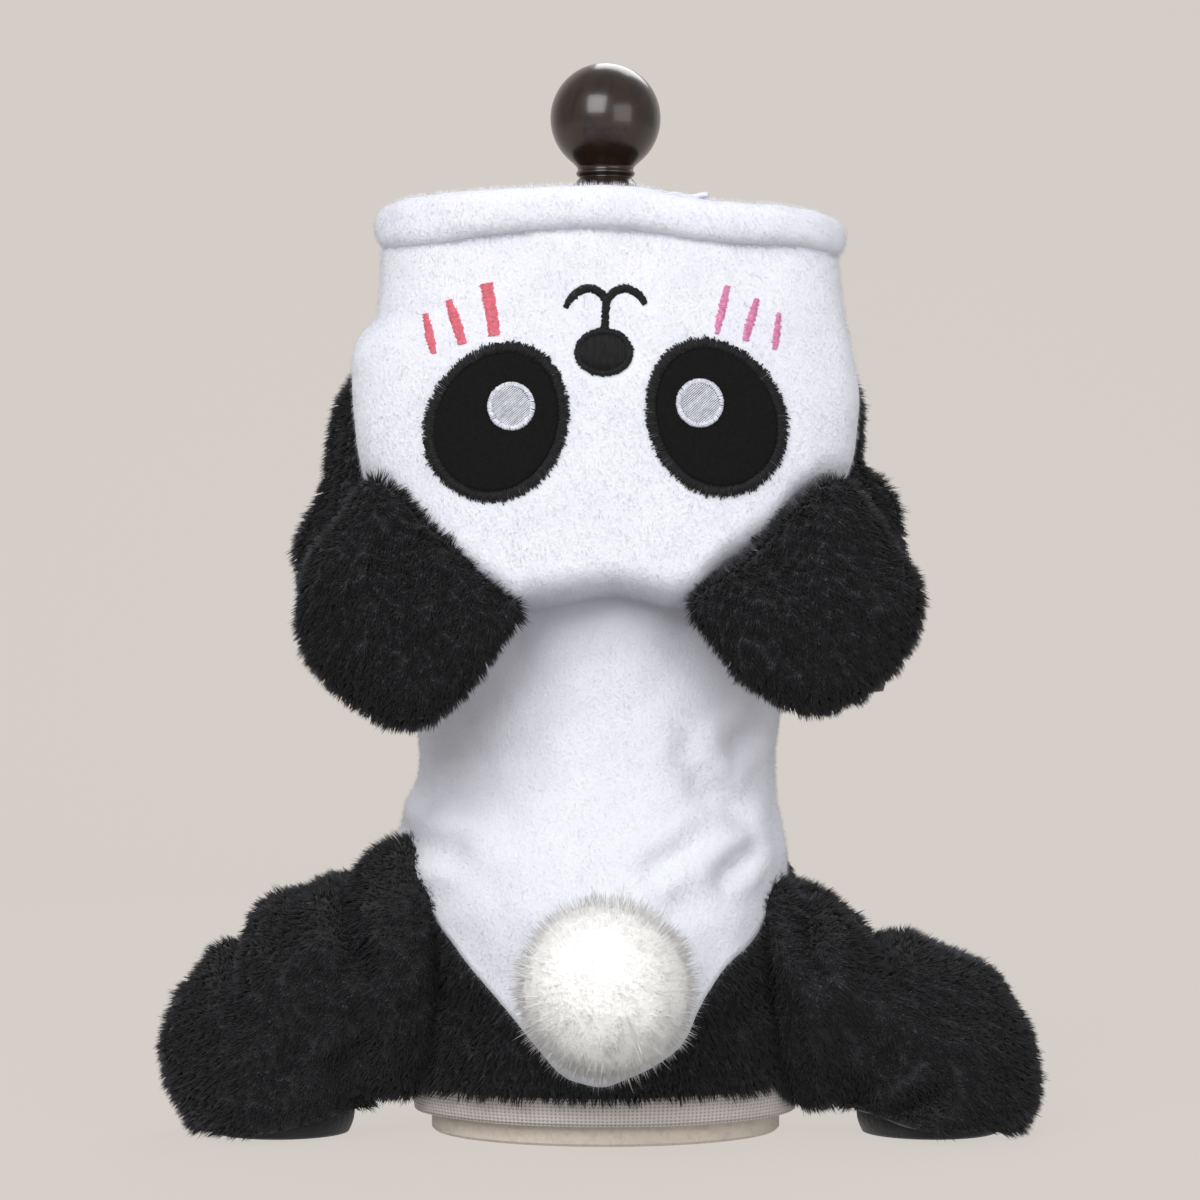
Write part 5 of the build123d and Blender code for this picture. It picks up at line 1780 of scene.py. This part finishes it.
LEFT_EAR = Ear(Side.LEFT, (
    (34, -1.5), (31.5, 10), (30, 20), (29.6, 31), (26.4, 39.4), (20.6, 48), (14.2, 54.4), (6.6, 57.4),
    (-4.7, 59.2), (-14.6, 58.8), (-23.6, 55.8), (-30.4, 52.2), (-35, 48.6), (-38, 43), (-40.2, 36),
    (-39.2, 27), (-37.6, 16), (-36.6, 8.4), (-36, -2), (-18, -4), (0, -4.5), (18, -4)))
RIGHT_EAR = Ear(Side.RIGHT, (
    (34, -1.5), (32, 7), (32.2, 16.6), (31.6, 28), (30, 36.6), (25.6, 45), (19.6, 51.6), (12, 56.2),
    (5, 57.9), (-5.2, 57.8), (-13.8, 56.2), (-23.6, 50.8), (-30.2, 44.8), (-36.6, 34.6), (-38, 25.6),
    (-37, 16.3), (-36.4, 6), (-36, -2), (-18, -4), (0, -4.5), (18, -4)), seed=105)
LEFT_SLEEVE = Sleeve(Side.LEFT, outer=(
    (172, 99.0), (177, 104.0), (190, 109.0), (206, 111.0), (216, 111.0), (222, 108.5), (230, 104.0),
    (245, 100.0), (254, 99.0), (272, 93.5), (280, 86.5), (284, 79.0)))
RIGHT_SLEEVE = Sleeve(Side.RIGHT, outer=(
    (172, 99.0), (177, 104.0), (190, 108.5), (206, 110.0), (217, 107.5), (229, 104.0), (235, 99.5),
    (240, 94.5), (256, 92.0), (272, 90.0), (280, 84.5), (284, 78.0)), seed=75)


def main() -> None:
    """Build the dressed form, piece by piece."""
    logging.basicConfig(level=logging.INFO, format="%(name)s: %(message)s")
    palette = Palette()
    DisplayForm().build(palette)
    SuitBody().build(palette)
    for leg in (LEFT_LEG, RIGHT_LEG):
        leg.build(palette)
    for sleeve in (LEFT_SLEEVE, RIGHT_SLEEVE):
        sleeve.build(palette)
    shape = HoodShape()
    face = FaceWork(shape)
    Hood(shape, face.clear_of).build(palette)
    face.build(palette)
    for ear in (LEFT_EAR, RIGHT_EAR):
        ear.build(palette)
    Pompom().build(palette)
    Studio().build()


if __name__ == "__main__":
    main()
